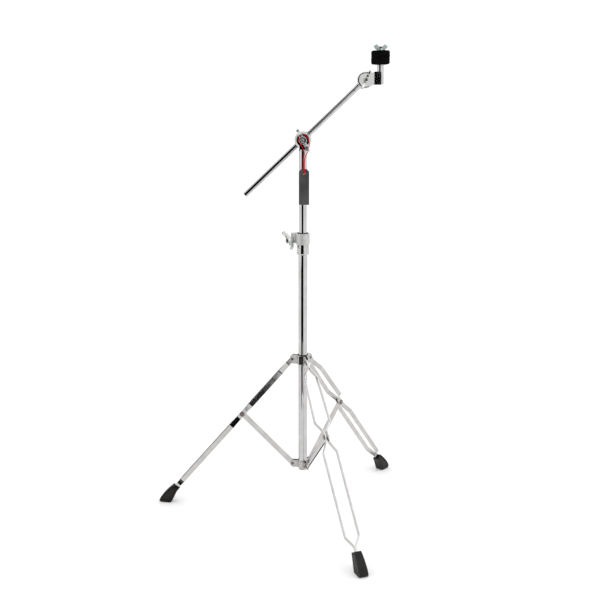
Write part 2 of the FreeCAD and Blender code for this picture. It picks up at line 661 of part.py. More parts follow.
def make_foot(azimuth):
    """Rubber boot, drawn in the leg's radial plane and tapered across it."""
    angle = math.radians(LEG_ANGLE)
    down = Vector(math.sin(angle), 0, -math.cos(angle))
    out = Vector(math.cos(angle), 0, math.sin(angle))
    pivot = Vector(UPPER_PIVOT_R, 0, UPPER_PIVOT_Z)
    mouth = pivot + down * LEG_LENGTH
    mouth_out = mouth + out * FOOT_MOUTH_HALF
    mouth_in = mouth - out * FOOT_MOUTH_HALF
    toe = Vector(FOOT_SOLE_OUTER_R, 0, 0)
    toe_top = Vector(FOOT_SOLE_OUTER_R + 4.2, 0, 4.6)
    heel = Vector(FOOT_SOLE_INNER_R, 0, 0)
    heel_top = Vector(FOOT_SOLE_INNER_R - 3.0, 0, 3.6)
    bulge = (mouth_out + toe_top) * 0.5 + out * 3.2
    hollow = (mouth_in + heel_top) * 0.5 + out * 2.4
    side = outline(mouth_in, [
        mouth_out, (bulge, toe_top),
        (floor_arc(toe, toe_top), toe), heel,
        (floor_arc(heel, heel_top), heel_top),
        (hollow, mouth_in)])
    wide = 2 * FOOT_SOLE_HALF_T
    boot = moved(side.extrude(Vector(0, wide, 0)), Vector(0, -FOOT_SOLE_HALF_T, 0))
    behind = mouth.x - 4 * FOOT_MOUTH_HALF
    top = mouth.z + FOOT_MOUTH_HALF
    taper = outline(Vector(behind, -FOOT_TOP_HALF_T, top), [
        Vector(behind, -FOOT_SOLE_HALF_T, 0), Vector(behind, FOOT_SOLE_HALF_T, 0),
        Vector(behind, FOOT_TOP_HALF_T, top)])
    boot = boot.common(taper.extrude(Vector(2 * (FOOT_SOLE_OUTER_R - behind), 0, 0)))
    long_edges = []
    for edge in boot.Edges:
        middle = edge.valueAt((edge.FirstParameter + edge.LastParameter) / 2)
        if abs(middle.y) > FOOT_TOP_HALF_T - 1.5 and middle.z > 1.5:
            long_edges.append(edge)
    boot = boot.makeFillet(FOOT_EDGE, long_edges)
    pocket = box(Vector(LOWER_LOOP_END, -STRIP_THICKNESS, -STRIP_WIDTH / 2),
                 Vector(LOWER_LOOP_END + STRIP_TAIL, STRIP_THICKNESS, STRIP_WIDTH / 2))
    pocket.Placement = leg_placement(0)
    return turned(boot.cut(pocket), azimuth)


def brace_placement(azimuth):
    """From brace coordinates (along the brace, across it, inward) to the stand."""
    tilt = Rotation(Vector(0, 1, 0), BRACE_ANGLE - 90)
    spin = Rotation(Vector(0, 0, 1), azimuth)
    base = radial(azimuth) * LOWER_PIVOT_R + Vector(0, 0, LOWER_PIVOT_Z)
    return Placement(base, spin.multiply(tilt))


def make_brace(azimuth):
    """Pressed channel, open on its lower side, with a round end at each rivet."""
    half = BRACE_WIDTH / 2
    side_view = outline(Vector(0, 0, half), [
        Vector(BRACE_LENGTH, 0, half),
        (Vector(BRACE_LENGTH + half, 0, 0), Vector(BRACE_LENGTH, 0, -half)),
        Vector(0, 0, -half),
        (Vector(-half, 0, 0), Vector(0, 0, half))])
    block = moved(side_view.extrude(Vector(0, BRACE_CHANNEL, 0)), Vector(0, -BRACE_CHANNEL / 2, 0))
    inside = BRACE_CHANNEL / 2 - BRACE_WALL
    hollow = box(Vector(-20, -inside, -half - 1),
                 Vector(BRACE_LENGTH + 20, inside, half - BRACE_WALL))
    channel = block.cut(hollow)
    for at in (0, BRACE_LENGTH):
        ends = box(Vector(at - half - 1, -inside, -half), Vector(at + half + 1, inside, half))
        channel = channel.cut(ends)
        channel = channel.cut(cylinder(RIVET_R + FIT, Vector(at, -20, 0), Vector(at, 20, 0)))
    channel.Placement = brace_placement(azimuth)
    return channel


# ================================================================ upper collar
def make_upper_collar():
    plates = []
    for name, azimuth in LEG_AZIMUTHS.items():
        plate = collar_plate(UPPER_RING_R, UPPER_HALF_GAP, UPPER_COLLAR_HALF_H, UPPER_PIVOT_R,
                             UPPER_PIVOT_Z, azimuth, COLLAR_PADS[name])
        for leg in LEG_AZIMUTHS.values():
            plate = plate.cut(hole_at(leg, UPPER_PIVOT_R, UPPER_PIVOT_Z, RIVET_R))
        if name == LOCK_SCREW_PAD:
            start, end = lock_screw_line()
            plate = plate.cut(cylinder(LOCK_SCREW_R + FIT, start, end))
        plates.append(plate)
    return plates


def lock_screw_azimuth():
    return LEG_AZIMUTHS[LOCK_SCREW_PAD] + COLLAR_PADS[LOCK_SCREW_PAD]


def lock_screw_line():
    axis = radial(lock_screw_azimuth())
    height = Vector(0, 0, UPPER_PIVOT_Z)
    return axis * (BASE_TUBE_R + GAP) + height, axis * (UPPER_RING_R + 30) + height


def make_upper_collar_rivets():
    rivets = []
    for azimuth in LEG_AZIMUTHS.values():
        start, end = pivot_pin_line(azimuth, UPPER_PIVOT_R, UPPER_PIVOT_Z, UPPER_HALF_GAP)
        rivets.append(rivet(start, end))
    return Part.makeCompound(rivets)


def make_upper_collar_bush():
    half = UPPER_COLLAR_HALF_H + 1.0
    inner = BASE_TUBE_R + COLLAR_BUSH_FIT
    bush = tube(UPPER_RING_R, inner, Vector(0, 0, UPPER_PIVOT_Z - half),
                Vector(0, 0, UPPER_PIVOT_Z + half))
    start, end = lock_screw_line()
    return bush.cut(cylinder(LOCK_SCREW_R + FIT, start, end))


def lock_nut_faces():
    inner = UPPER_RING_R + COLLAR_PLATE_T + COLLAR_PAD_HEIGHT
    return inner, inner + LOCK_NUT_T


def make_collar_lock_nut():
    """Square nut welded on the collar's pad for the locking screw."""
    inner, outer = lock_nut_faces()
    nut = box(Vector(inner, -LOCK_NUT_HALF, UPPER_PIVOT_Z - LOCK_NUT_HALF),
              Vector(outer, LOCK_NUT_HALF, UPPER_PIVOT_Z + LOCK_NUT_HALF))
    nut = turned(nut, lock_screw_azimuth())
    start, end = lock_screw_line()
    return nut.cut(cylinder(LOCK_SCREW_R + FIT, start, end))


def make_collar_lock_screw():
    axis = radial(lock_screw_azimuth())
    start, end = lock_screw_line()
    outer = lock_nut_faces()[1]
    base = axis * (outer + 2.0) + Vector(0, 0, UPPER_PIVOT_Z)
    head = wing_nut(SMALL_WING_TIP, SMALL_WING_HUB_R, SMALL_WING_HUB_H, SMALL_WING_T, 1.0,
                    SMALL_WING_HUB_H * 1.3, LOCK_WING_DROP)
    plug = Part.makeCylinder(1.0, SMALL_WING_HUB_H * 0.9)
    head = along(axis, base, head.fuse(plug), Vector(0, 0, 1))
    return head.fuse(cylinder(LOCK_SCREW_R, start, base + axis * 1)).removeSplitter()


# ================================================================ upper tube and boom tilter
def make_upper_tube():
    inner = UPPER_TUBE_R - UPPER_TUBE_WALL
    return tube(UPPER_TUBE_R, inner, Vector(0, 0, UPPER_TUBE_BOTTOM), Vector(0, 0, UPPER_TUBE_TOP))


def make_upper_tube_guide():
    disc_r = BASE_TUBE_R - BASE_TUBE_WALL - FIT
    spigot_r = UPPER_TUBE_R - UPPER_TUBE_WALL - FIT
    disc = Part.makeCylinder(disc_r, GUIDE_HEAD, Vector(0, 0, UPPER_TUBE_BOTTOM - GUIDE_HEAD - FIT))
    spigot = Part.makeCylinder(spigot_r, GUIDE_SPIGOT + FIT, Vector(0, 0, UPPER_TUBE_BOTTOM - FIT))
    return disc.fuse(spigot).removeSplitter()


def tilt_axis(y):
    return Vector(0, y, TILT_Z)


def make_tilter_post():
    spigot_r = UPPER_TUBE_R - UPPER_TUBE_WALL
    spigot = Part.makeCylinder(spigot_r, POST_SPIGOT, Vector(0, 0, UPPER_TUBE_TOP - POST_SPIGOT))
    disc = cylinder(POST_DISC_R, tilt_axis(POST_FRONT_Y), tilt_axis(POST_BACK_Y))
    neck = box(Vector(-POST_NECK_HALF, POST_FRONT_Y, UPPER_TUBE_TOP),
               Vector(POST_NECK_HALF, POST_BACK_Y, TILT_Z))
    foot = Part.makeCylinder(UPPER_TUBE_R, 3.0, Vector(0, 0, UPPER_TUBE_TOP))
    post = spigot.fuse(disc).fuse(neck).fuse(foot)
    hole = cylinder(TILT_BOLT_R + FIT, tilt_axis(-CUT), tilt_axis(CUT))
    return post.cut(hole).removeSplitter()


BOOM_DIRECTION = Vector(math.cos(math.radians(BOOM_ANGLE)), 0, math.sin(math.radians(BOOM_ANGLE)))
HOLDER_FRONT_Y = POST_BACK_Y + FIT + FRICTION_DISC_T
SLEEVE_OUTER_R = BOOM_R + FIT + SLEEVE_WALL
HOLDER_BORE_R = SLEEVE_OUTER_R + FIT


def boom_point(distance):
    return Vector(0, BOOM_Y, TILT_Z) + BOOM_DIRECTION * distance


def make_tilter_friction_disc():
    start = POST_BACK_Y + FIT
    disc = cylinder(POST_DISC_R - 1, tilt_axis(start), tilt_axis(start + FRICTION_DISC_T))
    return disc.cut(cylinder(TILT_BOLT_R, tilt_axis(-CUT), tilt_axis(CUT)))


def make_boom_holder():
    disc = cylinder(HOLDER_DISC_R, tilt_axis(HOLDER_FRONT_Y), tilt_axis(HOLDER_DISC_BACK_Y))
    half = HOLDER_BARREL_LENGTH / 2
    barrel = cylinder(HOLDER_BARREL_R, boom_point(-half), boom_point(half))
    slot_half = EYE_WIDTH / 2 + GAP
    slot = cylinder(HOLDER_BARREL_R + 2, boom_point(-slot_half), boom_point(slot_half))
    slot = slot.cut(box(Vector(-CUT, -CUT, TILT_Z - CUT),
                        Vector(CUT, HOLDER_DISC_BACK_Y - 3, TILT_Z + CUT)))
    holder = disc.fuse(barrel).cut(slot)
    holder = holder.cut(cylinder(HOLDER_BORE_R, boom_point(-CUT), boom_point(CUT)))
    holder = holder.cut(cylinder(TILT_BOLT_R, tilt_axis(-CUT), tilt_axis(BOOM_Y)))
    return holder.removeSplitter()


def make_tilter_eye_bolt():
    half = EYE_WIDTH / 2
    eye = cylinder(HOLDER_BORE_R + EYE_WALL, boom_point(-half), boom_point(half))
    shank = cylinder(TILT_BOLT_R, tilt_axis(TILT_BOLT_END_Y), tilt_axis(BOOM_Y - HOLDER_BORE_R))
    bolt = eye.fuse(shank)
    return bolt.cut(cylinder(HOLDER_BORE_R, boom_point(-CUT), boom_point(CUT))).removeSplitter()


def make_boom_sleeve():
    half = SLEEVE_LENGTH / 2
    return tube(SLEEVE_OUTER_R, BOOM_R + FIT, boom_point(-half), boom_point(half))


def make_tilter_washer():
    back = POST_FRONT_Y - FIT
    washer = cylinder(TILT_WASHER_R, tilt_axis(back - TILT_WASHER_T), tilt_axis(back))
    return washer.cut(cylinder(TILT_BOLT_R, tilt_axis(-CUT), tilt_axis(CUT)))


def make_tilter_wing_nut():
    turn = math.radians(TILT_WING_TURN)
    wings = Vector(math.cos(turn), 0, math.sin(turn))
    base = tilt_axis(POST_FRONT_Y - FIT - TILT_WASHER_T - GAP)
    return make_big_wing_nut(base, Vector(0, -1, 0), wings, TILT_BOLT_R, TILT_WING_DROP)


# ================================================================ boom and cymbal tilter
def cymbal_axis(y):
    return Vector(CYMBAL_TILT_X, y, CYMBAL_TILT_Z)


def boom_tip():
    return CYMBAL_TILT_ALONG - SOCKET_R + SOCKET_BORE_DEPTH


def make_boom_rod():
    rod = cylinder(BOOM_R, boom_point(-BOOM_REAR), boom_point(boom_tip()))
    rod = rod.makeChamfer(0.8, [rod.Edges[0], rod.Edges[2]])
    pin = boom_point(BOOM_PIN_ALONG)
    return rod.cut(cylinder(BOOM_PIN_R, pin - Vector(0, CUT, 0), pin + Vector(0, CUT, 0)))


def make_boom_pin():
    pin = boom_point(BOOM_PIN_ALONG)
    reach = Vector(0, BOOM_R + 0.6, 0)
    return cylinder(BOOM_PIN_R, pin - reach, pin + reach)


def make_cymbal_tilter_socket():
    disc = cylinder(SOCKET_R, cymbal_axis(SOCKET_FRONT_Y), cymbal_axis(SOCKET_BACK_Y))
    disc = disc.makeChamfer(SOCKET_EDGE, [e for e in disc.Edges if e.Closed])
    throat = cylinder(BOOM_R + SOCKET_THROAT_WALL, boom_point(CYMBAL_TILT_ALONG - SOCKET_R - 5),
                      boom_point(CYMBAL_TILT_ALONG - SOCKET_R + 4))
    socket = disc.fuse(throat)
    socket = socket.cut(cylinder(BOOM_R, boom_point(boom_tip() - CUT), boom_point(boom_tip())))
    return socket.cut(cylinder(CYMBAL_BOLT_R, cymbal_axis(-CUT), cymbal_axis(CUT))).removeSplitter()


def make_cymbal_tilter_arm():
    back = SOCKET_FRONT_Y - GAP
    disc = cylinder(ARM_DISC_R, cymbal_axis(ARM_FRONT_Y), cymbal_axis(back))
    near = ARM_BLOCK_X - ARM_BLOCK_HALF_X
    first = Vector(CYMBAL_TILT_X + ARM_DISC_R * 0.2, ARM_FRONT_Y, CYMBAL_TILT_Z - ARM_DISC_R * 0.97)
    upper = Vector(CYMBAL_TILT_X + ARM_DISC_R * 0.2, ARM_FRONT_Y, CYMBAL_TILT_Z + ARM_DISC_R * 0.97)
    web = outline(first, [Vector(near + 3, ARM_FRONT_Y, ARM_BLOCK_BOTTOM + 0.5),
                          Vector(near + 3, ARM_FRONT_Y, ARM_BLOCK_TOP - 0.5), upper])
    web = web.extrude(Vector(0, back - ARM_FRONT_Y, 0))
    corners = [Vector(near, ARM_BLOCK_FRONT_Y, ARM_BLOCK_BOTTOM),
               Vector(POST_X + ARM_BLOCK_GRIP, ARM_BLOCK_FRONT_Y, ARM_BLOCK_BOTTOM),
               Vector(POST_X + ARM_BLOCK_GRIP, ARM_BLOCK_FRONT_Y, ARM_BLOCK_TOP),
               Vector(near, ARM_BLOCK_FRONT_Y, ARM_BLOCK_TOP)]
    block = rounded_polygon(corners, 1.5)
    block = block.extrude(Vector(0, 2 * (POST_Y - ARM_BLOCK_FRONT_Y), 0))
    arm = disc.fuse(web).fuse(block)
    arm = arm.cut(cylinder(POST_R, Vector(POST_X, POST_Y, POST_BOTTOM),
                           Vector(POST_X, POST_Y, POST_TOP)))
    return arm.cut(cylinder(CYMBAL_BOLT_R + FIT, cymbal_axis(-CUT), cymbal_axis(CUT))).removeSplitter()


def make_cymbal_tilter_bolt():
    shank = cylinder(CYMBAL_BOLT_R, cymbal_axis(CYMBAL_BOLT_END_Y), cymbal_axis(SOCKET_BACK_Y))
    head = Part.makeCone(CYMBAL_BOLT_HEAD_R, CYMBAL_BOLT_HEAD_R * 0.8, CYMBAL_BOLT_HEAD_H,
                         cymbal_axis(SOCKET_BACK_Y), Vector(0, 1, 0))
    return shank.fuse(head).removeSplitter()


def make_cymbal_tilter_wing_nut():
    turn = math.radians(CYMBAL_WING_TURN)
    wings = Vector(math.cos(turn), 0, math.sin(turn))
    nut = wing_nut(SMALL_WING_TIP, SMALL_WING_HUB_R, SMALL_WING_HUB_H, SMALL_WING_T,
                   CYMBAL_BOLT_R + FIT, SMALL_WING_HUB_H * 1.3, SMALL_WING_DROP)
    return along(Vector(0, -1, 0), cymbal_axis(ARM_FRONT_Y - GAP), nut, wings)


# ================================================================ cymbal post and felts
def post_axis(z):
    return Vector(POST_X, POST_Y, z)


def make_cymbal_post():
    rod_bottom = POST_TOP - CYMBAL_ROD_DEPTH
    post = cylinder(POST_R, post_axis(POST_BOTTOM), post_axis(POST_TOP))
    return post.cut(cylinder(CYMBAL_ROD_R, post_axis(rod_bottom), post_axis(POST_TOP)))


def make_cymbal_threaded_rod():
    rod_bottom = POST_TOP - CYMBAL_ROD_DEPTH
    rod = cylinder(CYMBAL_ROD_R, post_axis(rod_bottom), post_axis(CYMBAL_ROD_TOP))
    tops = [e for e in rod.Edges if e.Closed and e.CenterOfMass.z > CYMBAL_ROD_TOP - 1]
    return rod.makeChamfer(0.8, tops)


def make_cymbal_seat():
    return tube(SEAT_R, CYMBAL_ROD_R, post_axis(POST_TOP), post_axis(FELT_BOTTOM))


def make_cymbal_sleeve():
    return tube(CYMBAL_SLEEVE_R, CYMBAL_ROD_R, post_axis(FELT_BOTTOM), post_axis(FELT_TOP - 1.5))


def make_felt(bottom):
    felt = cylinder(FELT_R, post_axis(bottom), post_axis(bottom + FELT_H))
    felt = felt.makeFillet(FELT_EDGE, [e for e in felt.Edges if e.Closed])
    return felt.cut(cylinder(CYMBAL_SLEEVE_R, post_axis(bottom), post_axis(bottom + FELT_H)))


def make_cymbal_wing_nut():
    """Pressed M8 wing nut with two upright wings."""
    hub = Part.makeCone(TOP_NUT_HUB_R + 1.2, TOP_NUT_HUB_R, TOP_NUT_HUB_H)
    low = Vector(TOP_NUT_HUB_R * 0.5, 0, 1.0)
    foot = Vector(TOP_NUT_TIP * 0.62, 0, 2.4)
    knee = Vector(TOP_NUT_TIP * 0.86, 0, 5.2)
    tip = Vector(TOP_NUT_TIP, 0, TOP_NUT_RISE - 2.0)
    crown = Vector(TOP_NUT_TIP - 1.6, 0, TOP_NUT_RISE)
    inner = Vector(TOP_NUT_TIP - 4.6, 0, TOP_NUT_RISE - 1.6)
    neck = Vector(TOP_NUT_HUB_R * 0.5, 0, TOP_NUT_HUB_H - 0.6)
    face = outline(low, [foot, (knee, tip), (Vector(TOP_NUT_TIP - 0.3, 0, TOP_NUT_RISE - 0.6),
                                             crown), inner, neck])
    wing = moved(face.extrude(Vector(0, TOP_NUT_T, 0)), Vector(0, -TOP_NUT_T / 2, 0))
    nut = hub.fuse(wing).fuse(turned(wing, 180))
    nut = nut.cut(Part.makeCylinder(CYMBAL_ROD_R + FIT, TOP_NUT_HUB_H + TOP_NUT_RISE))
    return moved(nut.removeSplitter(), post_axis(FELT_TOP + FIT))


# ================================================================ hang tag
def make_hang_tag():
    half = TAG_WIDTH / 2
    front = TAG_Y - TAG_T / 2
    corners = [(-half, TAG_BOTTOM), (half, TAG_BOTTOM), (half, TAG_TOP - TAG_CHAMFER),
               (half - TAG_CHAMFER, TAG_TOP), (TAG_CHAMFER - half, TAG_TOP),
               (-half, TAG_TOP - TAG_CHAMFER)]
    points = [Vector(TAG_X + x, front, z) for x, z in corners]
    card = rounded_polygon(points, 1.2).extrude(Vector(0, TAG_T, 0))
    return card.cut(cylinder(TAG_HOLE_R, Vector(TAG_X, TAG_Y - TAG_T, TAG_HOLE_Z),
                             Vector(TAG_X, TAG_Y + TAG_T, TAG_HOLE_Z)))


def main():
    os.makedirs("parts", exist_ok=True)

    save("base_tube", make_base_tube())
    save("base_tube_plug", make_base_tube_plug())
    for name, plate in zip(LEG_AZIMUTHS, make_lower_collar()):
        save("lower_collar_plate_" + name, plate)
    save("lower_collar_rivets", make_lower_collar_rivets())
    save("height_clamp_body", make_height_clamp_body())
    save("height_clamp_bush", make_height_clamp_bush())
    save("height_clamp_bolt", make_height_clamp_bolt())
    save("height_clamp_wing_nut", make_height_clamp_wing_nut())

    strips = {"a": leg_strip(1), "b": leg_strip(-1)}
    middle = make_mid_rivet()
    for name, azimuth in LEG_AZIMUTHS.items():
        for letter, strip in strips.items():
            save(name + "_leg_strip_" + letter, place_leg(strip, azimuth))
        save(name + "_leg_rivet", place_leg(middle, azimuth))
        save(name + "_foot", make_foot(azimuth))
        save(name + "_brace", make_brace(azimuth))

    for name, plate in zip(LEG_AZIMUTHS, make_upper_collar()):
        save("upper_collar_plate_" + name, plate)
    save("upper_collar_rivets", make_upper_collar_rivets())
    save("upper_collar_bush", make_upper_collar_bush())
    save("collar_lock_nut", make_collar_lock_nut())
    save("collar_lock_screw", make_collar_lock_screw())

    save("upper_tube", make_upper_tube())
    save("upper_tube_guide", make_upper_tube_guide())
    save("tilter_post", make_tilter_post())
    save("tilter_friction_disc", make_tilter_friction_disc())
    save("boom_holder", make_boom_holder())
    save("tilter_eye_bolt", make_tilter_eye_bolt())
    save("tilter_washer", make_tilter_washer())
    save("tilter_wing_nut", make_tilter_wing_nut())
    save("boom_sleeve", make_boom_sleeve())

    save("boom_rod", make_boom_rod())
    save("boom_pin", make_boom_pin())
    save("cymbal_tilter_socket", make_cymbal_tilter_socket())
    save("cymbal_tilter_arm", make_cymbal_tilter_arm())
    save("cymbal_tilter_bolt", make_cymbal_tilter_bolt())
    save("cymbal_tilter_wing_nut", make_cymbal_tilter_wing_nut())
    save("cymbal_post", make_cymbal_post())
    save("cymbal_threaded_rod", make_cymbal_threaded_rod())
    save("cymbal_seat", make_cymbal_seat())
    save("cymbal_sleeve", make_cymbal_sleeve())
    save("felt_lower", make_felt(FELT_BOTTOM))
    save("felt_upper", make_felt(FELT_MIDDLE))
    save("cymbal_wing_nut", make_cymbal_wing_nut())

    save("tag_cord", rounded_cord(CORD_POINTS, CORD_R))
    save("hang_tag", make_hang_tag())


main()
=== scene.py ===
# %% [markdown]
# # A folding cymbal boom stand
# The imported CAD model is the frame. It already holds every tube, strip, collar, nut and bolt at its
# real size, and the joints that move them. This lesson adds what CAD leaves plain: rounded edges,
# cast wing nuts, moulded rubber feet, felts, a screw thread, a cord, and the finish of each surface.

import json
import math

import bmesh
import bpy
from mathutils import Matrix, Vector


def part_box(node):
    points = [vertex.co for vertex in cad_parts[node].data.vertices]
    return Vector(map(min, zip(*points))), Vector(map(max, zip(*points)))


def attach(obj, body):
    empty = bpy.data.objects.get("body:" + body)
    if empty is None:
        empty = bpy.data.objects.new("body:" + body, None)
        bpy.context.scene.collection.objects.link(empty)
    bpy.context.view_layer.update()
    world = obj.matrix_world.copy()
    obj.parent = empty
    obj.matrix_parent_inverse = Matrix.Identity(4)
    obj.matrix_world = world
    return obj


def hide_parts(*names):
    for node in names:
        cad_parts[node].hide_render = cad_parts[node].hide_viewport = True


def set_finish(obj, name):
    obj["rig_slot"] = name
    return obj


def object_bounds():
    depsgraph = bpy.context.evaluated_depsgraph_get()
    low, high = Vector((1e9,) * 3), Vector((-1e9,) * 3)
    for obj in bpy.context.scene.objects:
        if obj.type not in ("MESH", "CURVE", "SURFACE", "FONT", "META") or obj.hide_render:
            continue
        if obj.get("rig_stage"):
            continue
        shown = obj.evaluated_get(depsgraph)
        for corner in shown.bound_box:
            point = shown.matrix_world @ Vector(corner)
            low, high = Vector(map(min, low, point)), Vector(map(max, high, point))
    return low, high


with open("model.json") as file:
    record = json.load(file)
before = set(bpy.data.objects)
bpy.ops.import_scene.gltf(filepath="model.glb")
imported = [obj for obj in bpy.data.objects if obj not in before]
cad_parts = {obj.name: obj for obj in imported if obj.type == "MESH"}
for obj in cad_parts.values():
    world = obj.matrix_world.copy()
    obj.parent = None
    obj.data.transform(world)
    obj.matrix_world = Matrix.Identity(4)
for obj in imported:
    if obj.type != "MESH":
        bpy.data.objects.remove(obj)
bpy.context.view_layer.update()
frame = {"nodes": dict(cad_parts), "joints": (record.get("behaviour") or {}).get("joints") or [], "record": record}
NODES = frame["nodes"]
MM = 0.001

# %% [markdown]
# ## Where things are
# Every place comes from the frame. A body's nodes are listed in the record, and a joint gives a point
# and an axis, so a wing nut can be modelled lying on the origin and then stood up along its own joint.

# %% Helpers that read the frame
BODY_OF = {node: body for body, nodes in frame["record"]["behaviour"]["bodies"].items()
           for node in nodes}
SLOT_OF = {part["node"]: part["material_slot"] for part in frame["record"]["subparts"]}
JOINTS = {joint["name"]: joint for joint in frame["joints"]}
PIECES = []               # every mesh made here, in the order in which it is made


def centre_of(node):
    low, high = (Vector(corner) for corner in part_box(node))
    return (low + high) / 2


def size_of(node):
    low, high = (Vector(corner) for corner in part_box(node))
    return high - low


def joint_line(name):
    joint = JOINTS[name]
    return Vector(joint["pos_m"]), Vector(joint["axis"]).normalized()


def deselect_all():
    if bpy.context.object and bpy.context.object.mode != "OBJECT":
        bpy.ops.object.mode_set(mode="OBJECT")
    bpy.ops.object.select_all(action="DESELECT")


def only(piece):
    deselect_all()
    piece.select_set(True)
    bpy.context.view_layer.objects.active = piece


def apply_modifiers(piece):
    only(piece)
    for modifier in list(piece.modifiers):
        bpy.ops.object.modifier_apply(modifier=modifier.name)


def smooth(piece, degrees=35):
    only(piece)
    bpy.ops.object.shade_smooth_by_angle(angle=math.radians(degrees))


def freeze(piece):
    """Apply the piece's place, turn and scale to its mesh, so that it lies at the origin, unturned."""
    only(piece)
    bpy.ops.object.transform_apply(location=True, rotation=True, scale=True)


def stand_for(piece, node):
    """The piece rides on the node's body, and is shown in its place with the same finish."""
    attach(piece, BODY_OF[node])
    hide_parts(node)
    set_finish(piece, SLOT_OF[node])
    PIECES.append(piece)


def sizes_mm(size):
    return [round(length / MM, 1) for length in size]


print("joints:", ", ".join(JOINTS))

# %% [markdown]
# ## Camera
# A stand a metre tall looks natural from chest height, a little above its middle, through a longish
# lens. The camera stays level from side to side and tips down by twelve degrees.

# %% Place the camera
CAMERA_PLACE = (-0.0119, -2.2959, 1.0555)
CAMERA_TIP, CAMERA_PAN = 77.635, -0.126     # degrees; 90 would be level
SENSOR_MM, LENS_MM = 36, 57.576

bpy.ops.object.camera_add(location=CAMERA_PLACE,
                          rotation=(math.radians(CAMERA_TIP), 0, math.radians(CAMERA_PAN)))
camera = bpy.context.object
camera.name = "camera"
camera.data.sensor_width = SENSOR_MM
camera.data.lens = LENS_MM
bpy.context.scene.camera = camera
print("camera stands at", CAMERA_PLACE, "with a lens of", LENS_MM, "mm")

# %% [markdown]
# ## Studio
# Chrome has no colour of its own: it shows the room. A white room makes the bright flanks of the
# tubes, and the dark end of the room behind the camera makes the black line down their middle. That
# dark end is made of cards that only reflections can see, so they throw no shade on the floor.

# %% White room and floor
ROOM_STRENGTH = 1.08
FLOOR_SIZE, FLOOR_DROP = 24, 0.0004         # the floor lies a hair below the feet
PAPER_GREY, PAPER_ROUGHNESS = 0.94, 0.9
PAPER_GLOW = 0.07                           # lifts the shade under the feet

scene = bpy.context.scene
scene.view_settings.view_transform = "Standard"
world = bpy.data.worlds.new("white_room")
scene.world = world
world.use_nodes = True
room = world.node_tree.nodes["Background"]
room.inputs["Color"].default_value = (1.0, 1.0, 1.0, 1)
room.inputs["Strength"].default_value = ROOM_STRENGTH

deselect_all()
bpy.ops.mesh.primitive_plane_add(size=FLOOR_SIZE, location=(0, 0, -FLOOR_DROP))
floor = bpy.context.object
floor.name = "studio_floor"
floor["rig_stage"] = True

floor_paper = bpy.data.materials.new("floor_paper")
floor_paper.use_nodes = True
paper = floor_paper.node_tree.nodes["Principled BSDF"]
paper.inputs["Base Color"].default_value = (PAPER_GREY, PAPER_GREY, PAPER_GREY, 1)
paper.inputs["Roughness"].default_value = PAPER_ROUGHNESS
paper.inputs["Emission Color"].default_value = (1, 1, 1, 1)
paper.inputs["Emission Strength"].default_value = PAPER_GLOW
floor.data.materials.append(floor_paper)
print("room strength", ROOM_STRENGTH, "on a floor of", FLOOR_SIZE, "m")

# %% Dark cards for the reflections


def reflection_card(name, centre, width, height, grey, aim=None):
    """Card seen by reflections only. It stands upright facing the stand, or looks towards aim."""
    deselect_all()
    bpy.ops.mesh.primitive_plane_add(size=1, location=centre, rotation=(math.radians(90), 0, 0))
    card = bpy.context.object
    card.name = name
    card.scale = (width, height, 1)
    if aim is not None:
        card.rotation_euler = (Vector(aim) - Vector(centre)).to_track_quat("Z", "Y").to_euler()
    material = bpy.data.materials.new(name)
    material.use_nodes = True
    nodes = material.node_tree.nodes
    nodes.clear()
    glow = nodes.new("ShaderNodeEmission")
    glow.inputs["Color"].default_value = (grey, grey, grey, 1)
    out = nodes.new("ShaderNodeOutputMaterial")
    material.node_tree.links.new(glow.outputs["Emission"], out.inputs["Surface"])
    card.data.materials.append(material)
    for ray in ("camera", "diffuse", "shadow", "transmission", "volume_scatter"):
        setattr(card, "visible_" + ray, False)
    card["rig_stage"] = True


# name, centre in metres, width, height, grey
reflection_card("dark_end_of_room", (-0.225, -0.95, 0.67), 0.99, 0.96, 0.004)
reflection_card("dim_lower_room", (-0.035, -0.951, 0.10), 0.47, 0.18, 0.22)
reflection_card("dark_doorway", (-0.63, -0.90, 0.21), 0.58, 0.42, 0.03)
reflection_card("dark_box_by_leg", (-0.375, -0.60, 0.13), 0.25, 0.17, 0.04)
reflection_card("dark_flag_by_clamp", (-0.155, 0.078, 0.676), 0.07, 0.03, 0.01,
                aim=(-0.02, 0, 0.70))
reflection_card("grey_ceiling_corner", (-0.86, -1.02, 1.80), 1.30, 1.30, 0.03, aim=(0, 0, 0.95))

# %% Soft key light
deselect_all()
bpy.ops.object.light_add(type="AREA", location=(1.6, -1.2, 2.4),
                         rotation=(math.radians(38), 0, math.radians(50)))
key = bpy.context.object
key.name = "soft_box"
key.data.size = 1.6
key.data.energy = 5

# %% [markdown]
# ## The cord first
# The tag hangs from a red cord that goes up, once round the tilter's bolt behind the wings, and back
# down to the hole in the tag. A cord is a fixed length on one smooth curve. Its control points follow
# the CAD tube, in metres, and leave it by a few millimetres where the cord crosses below the wings.

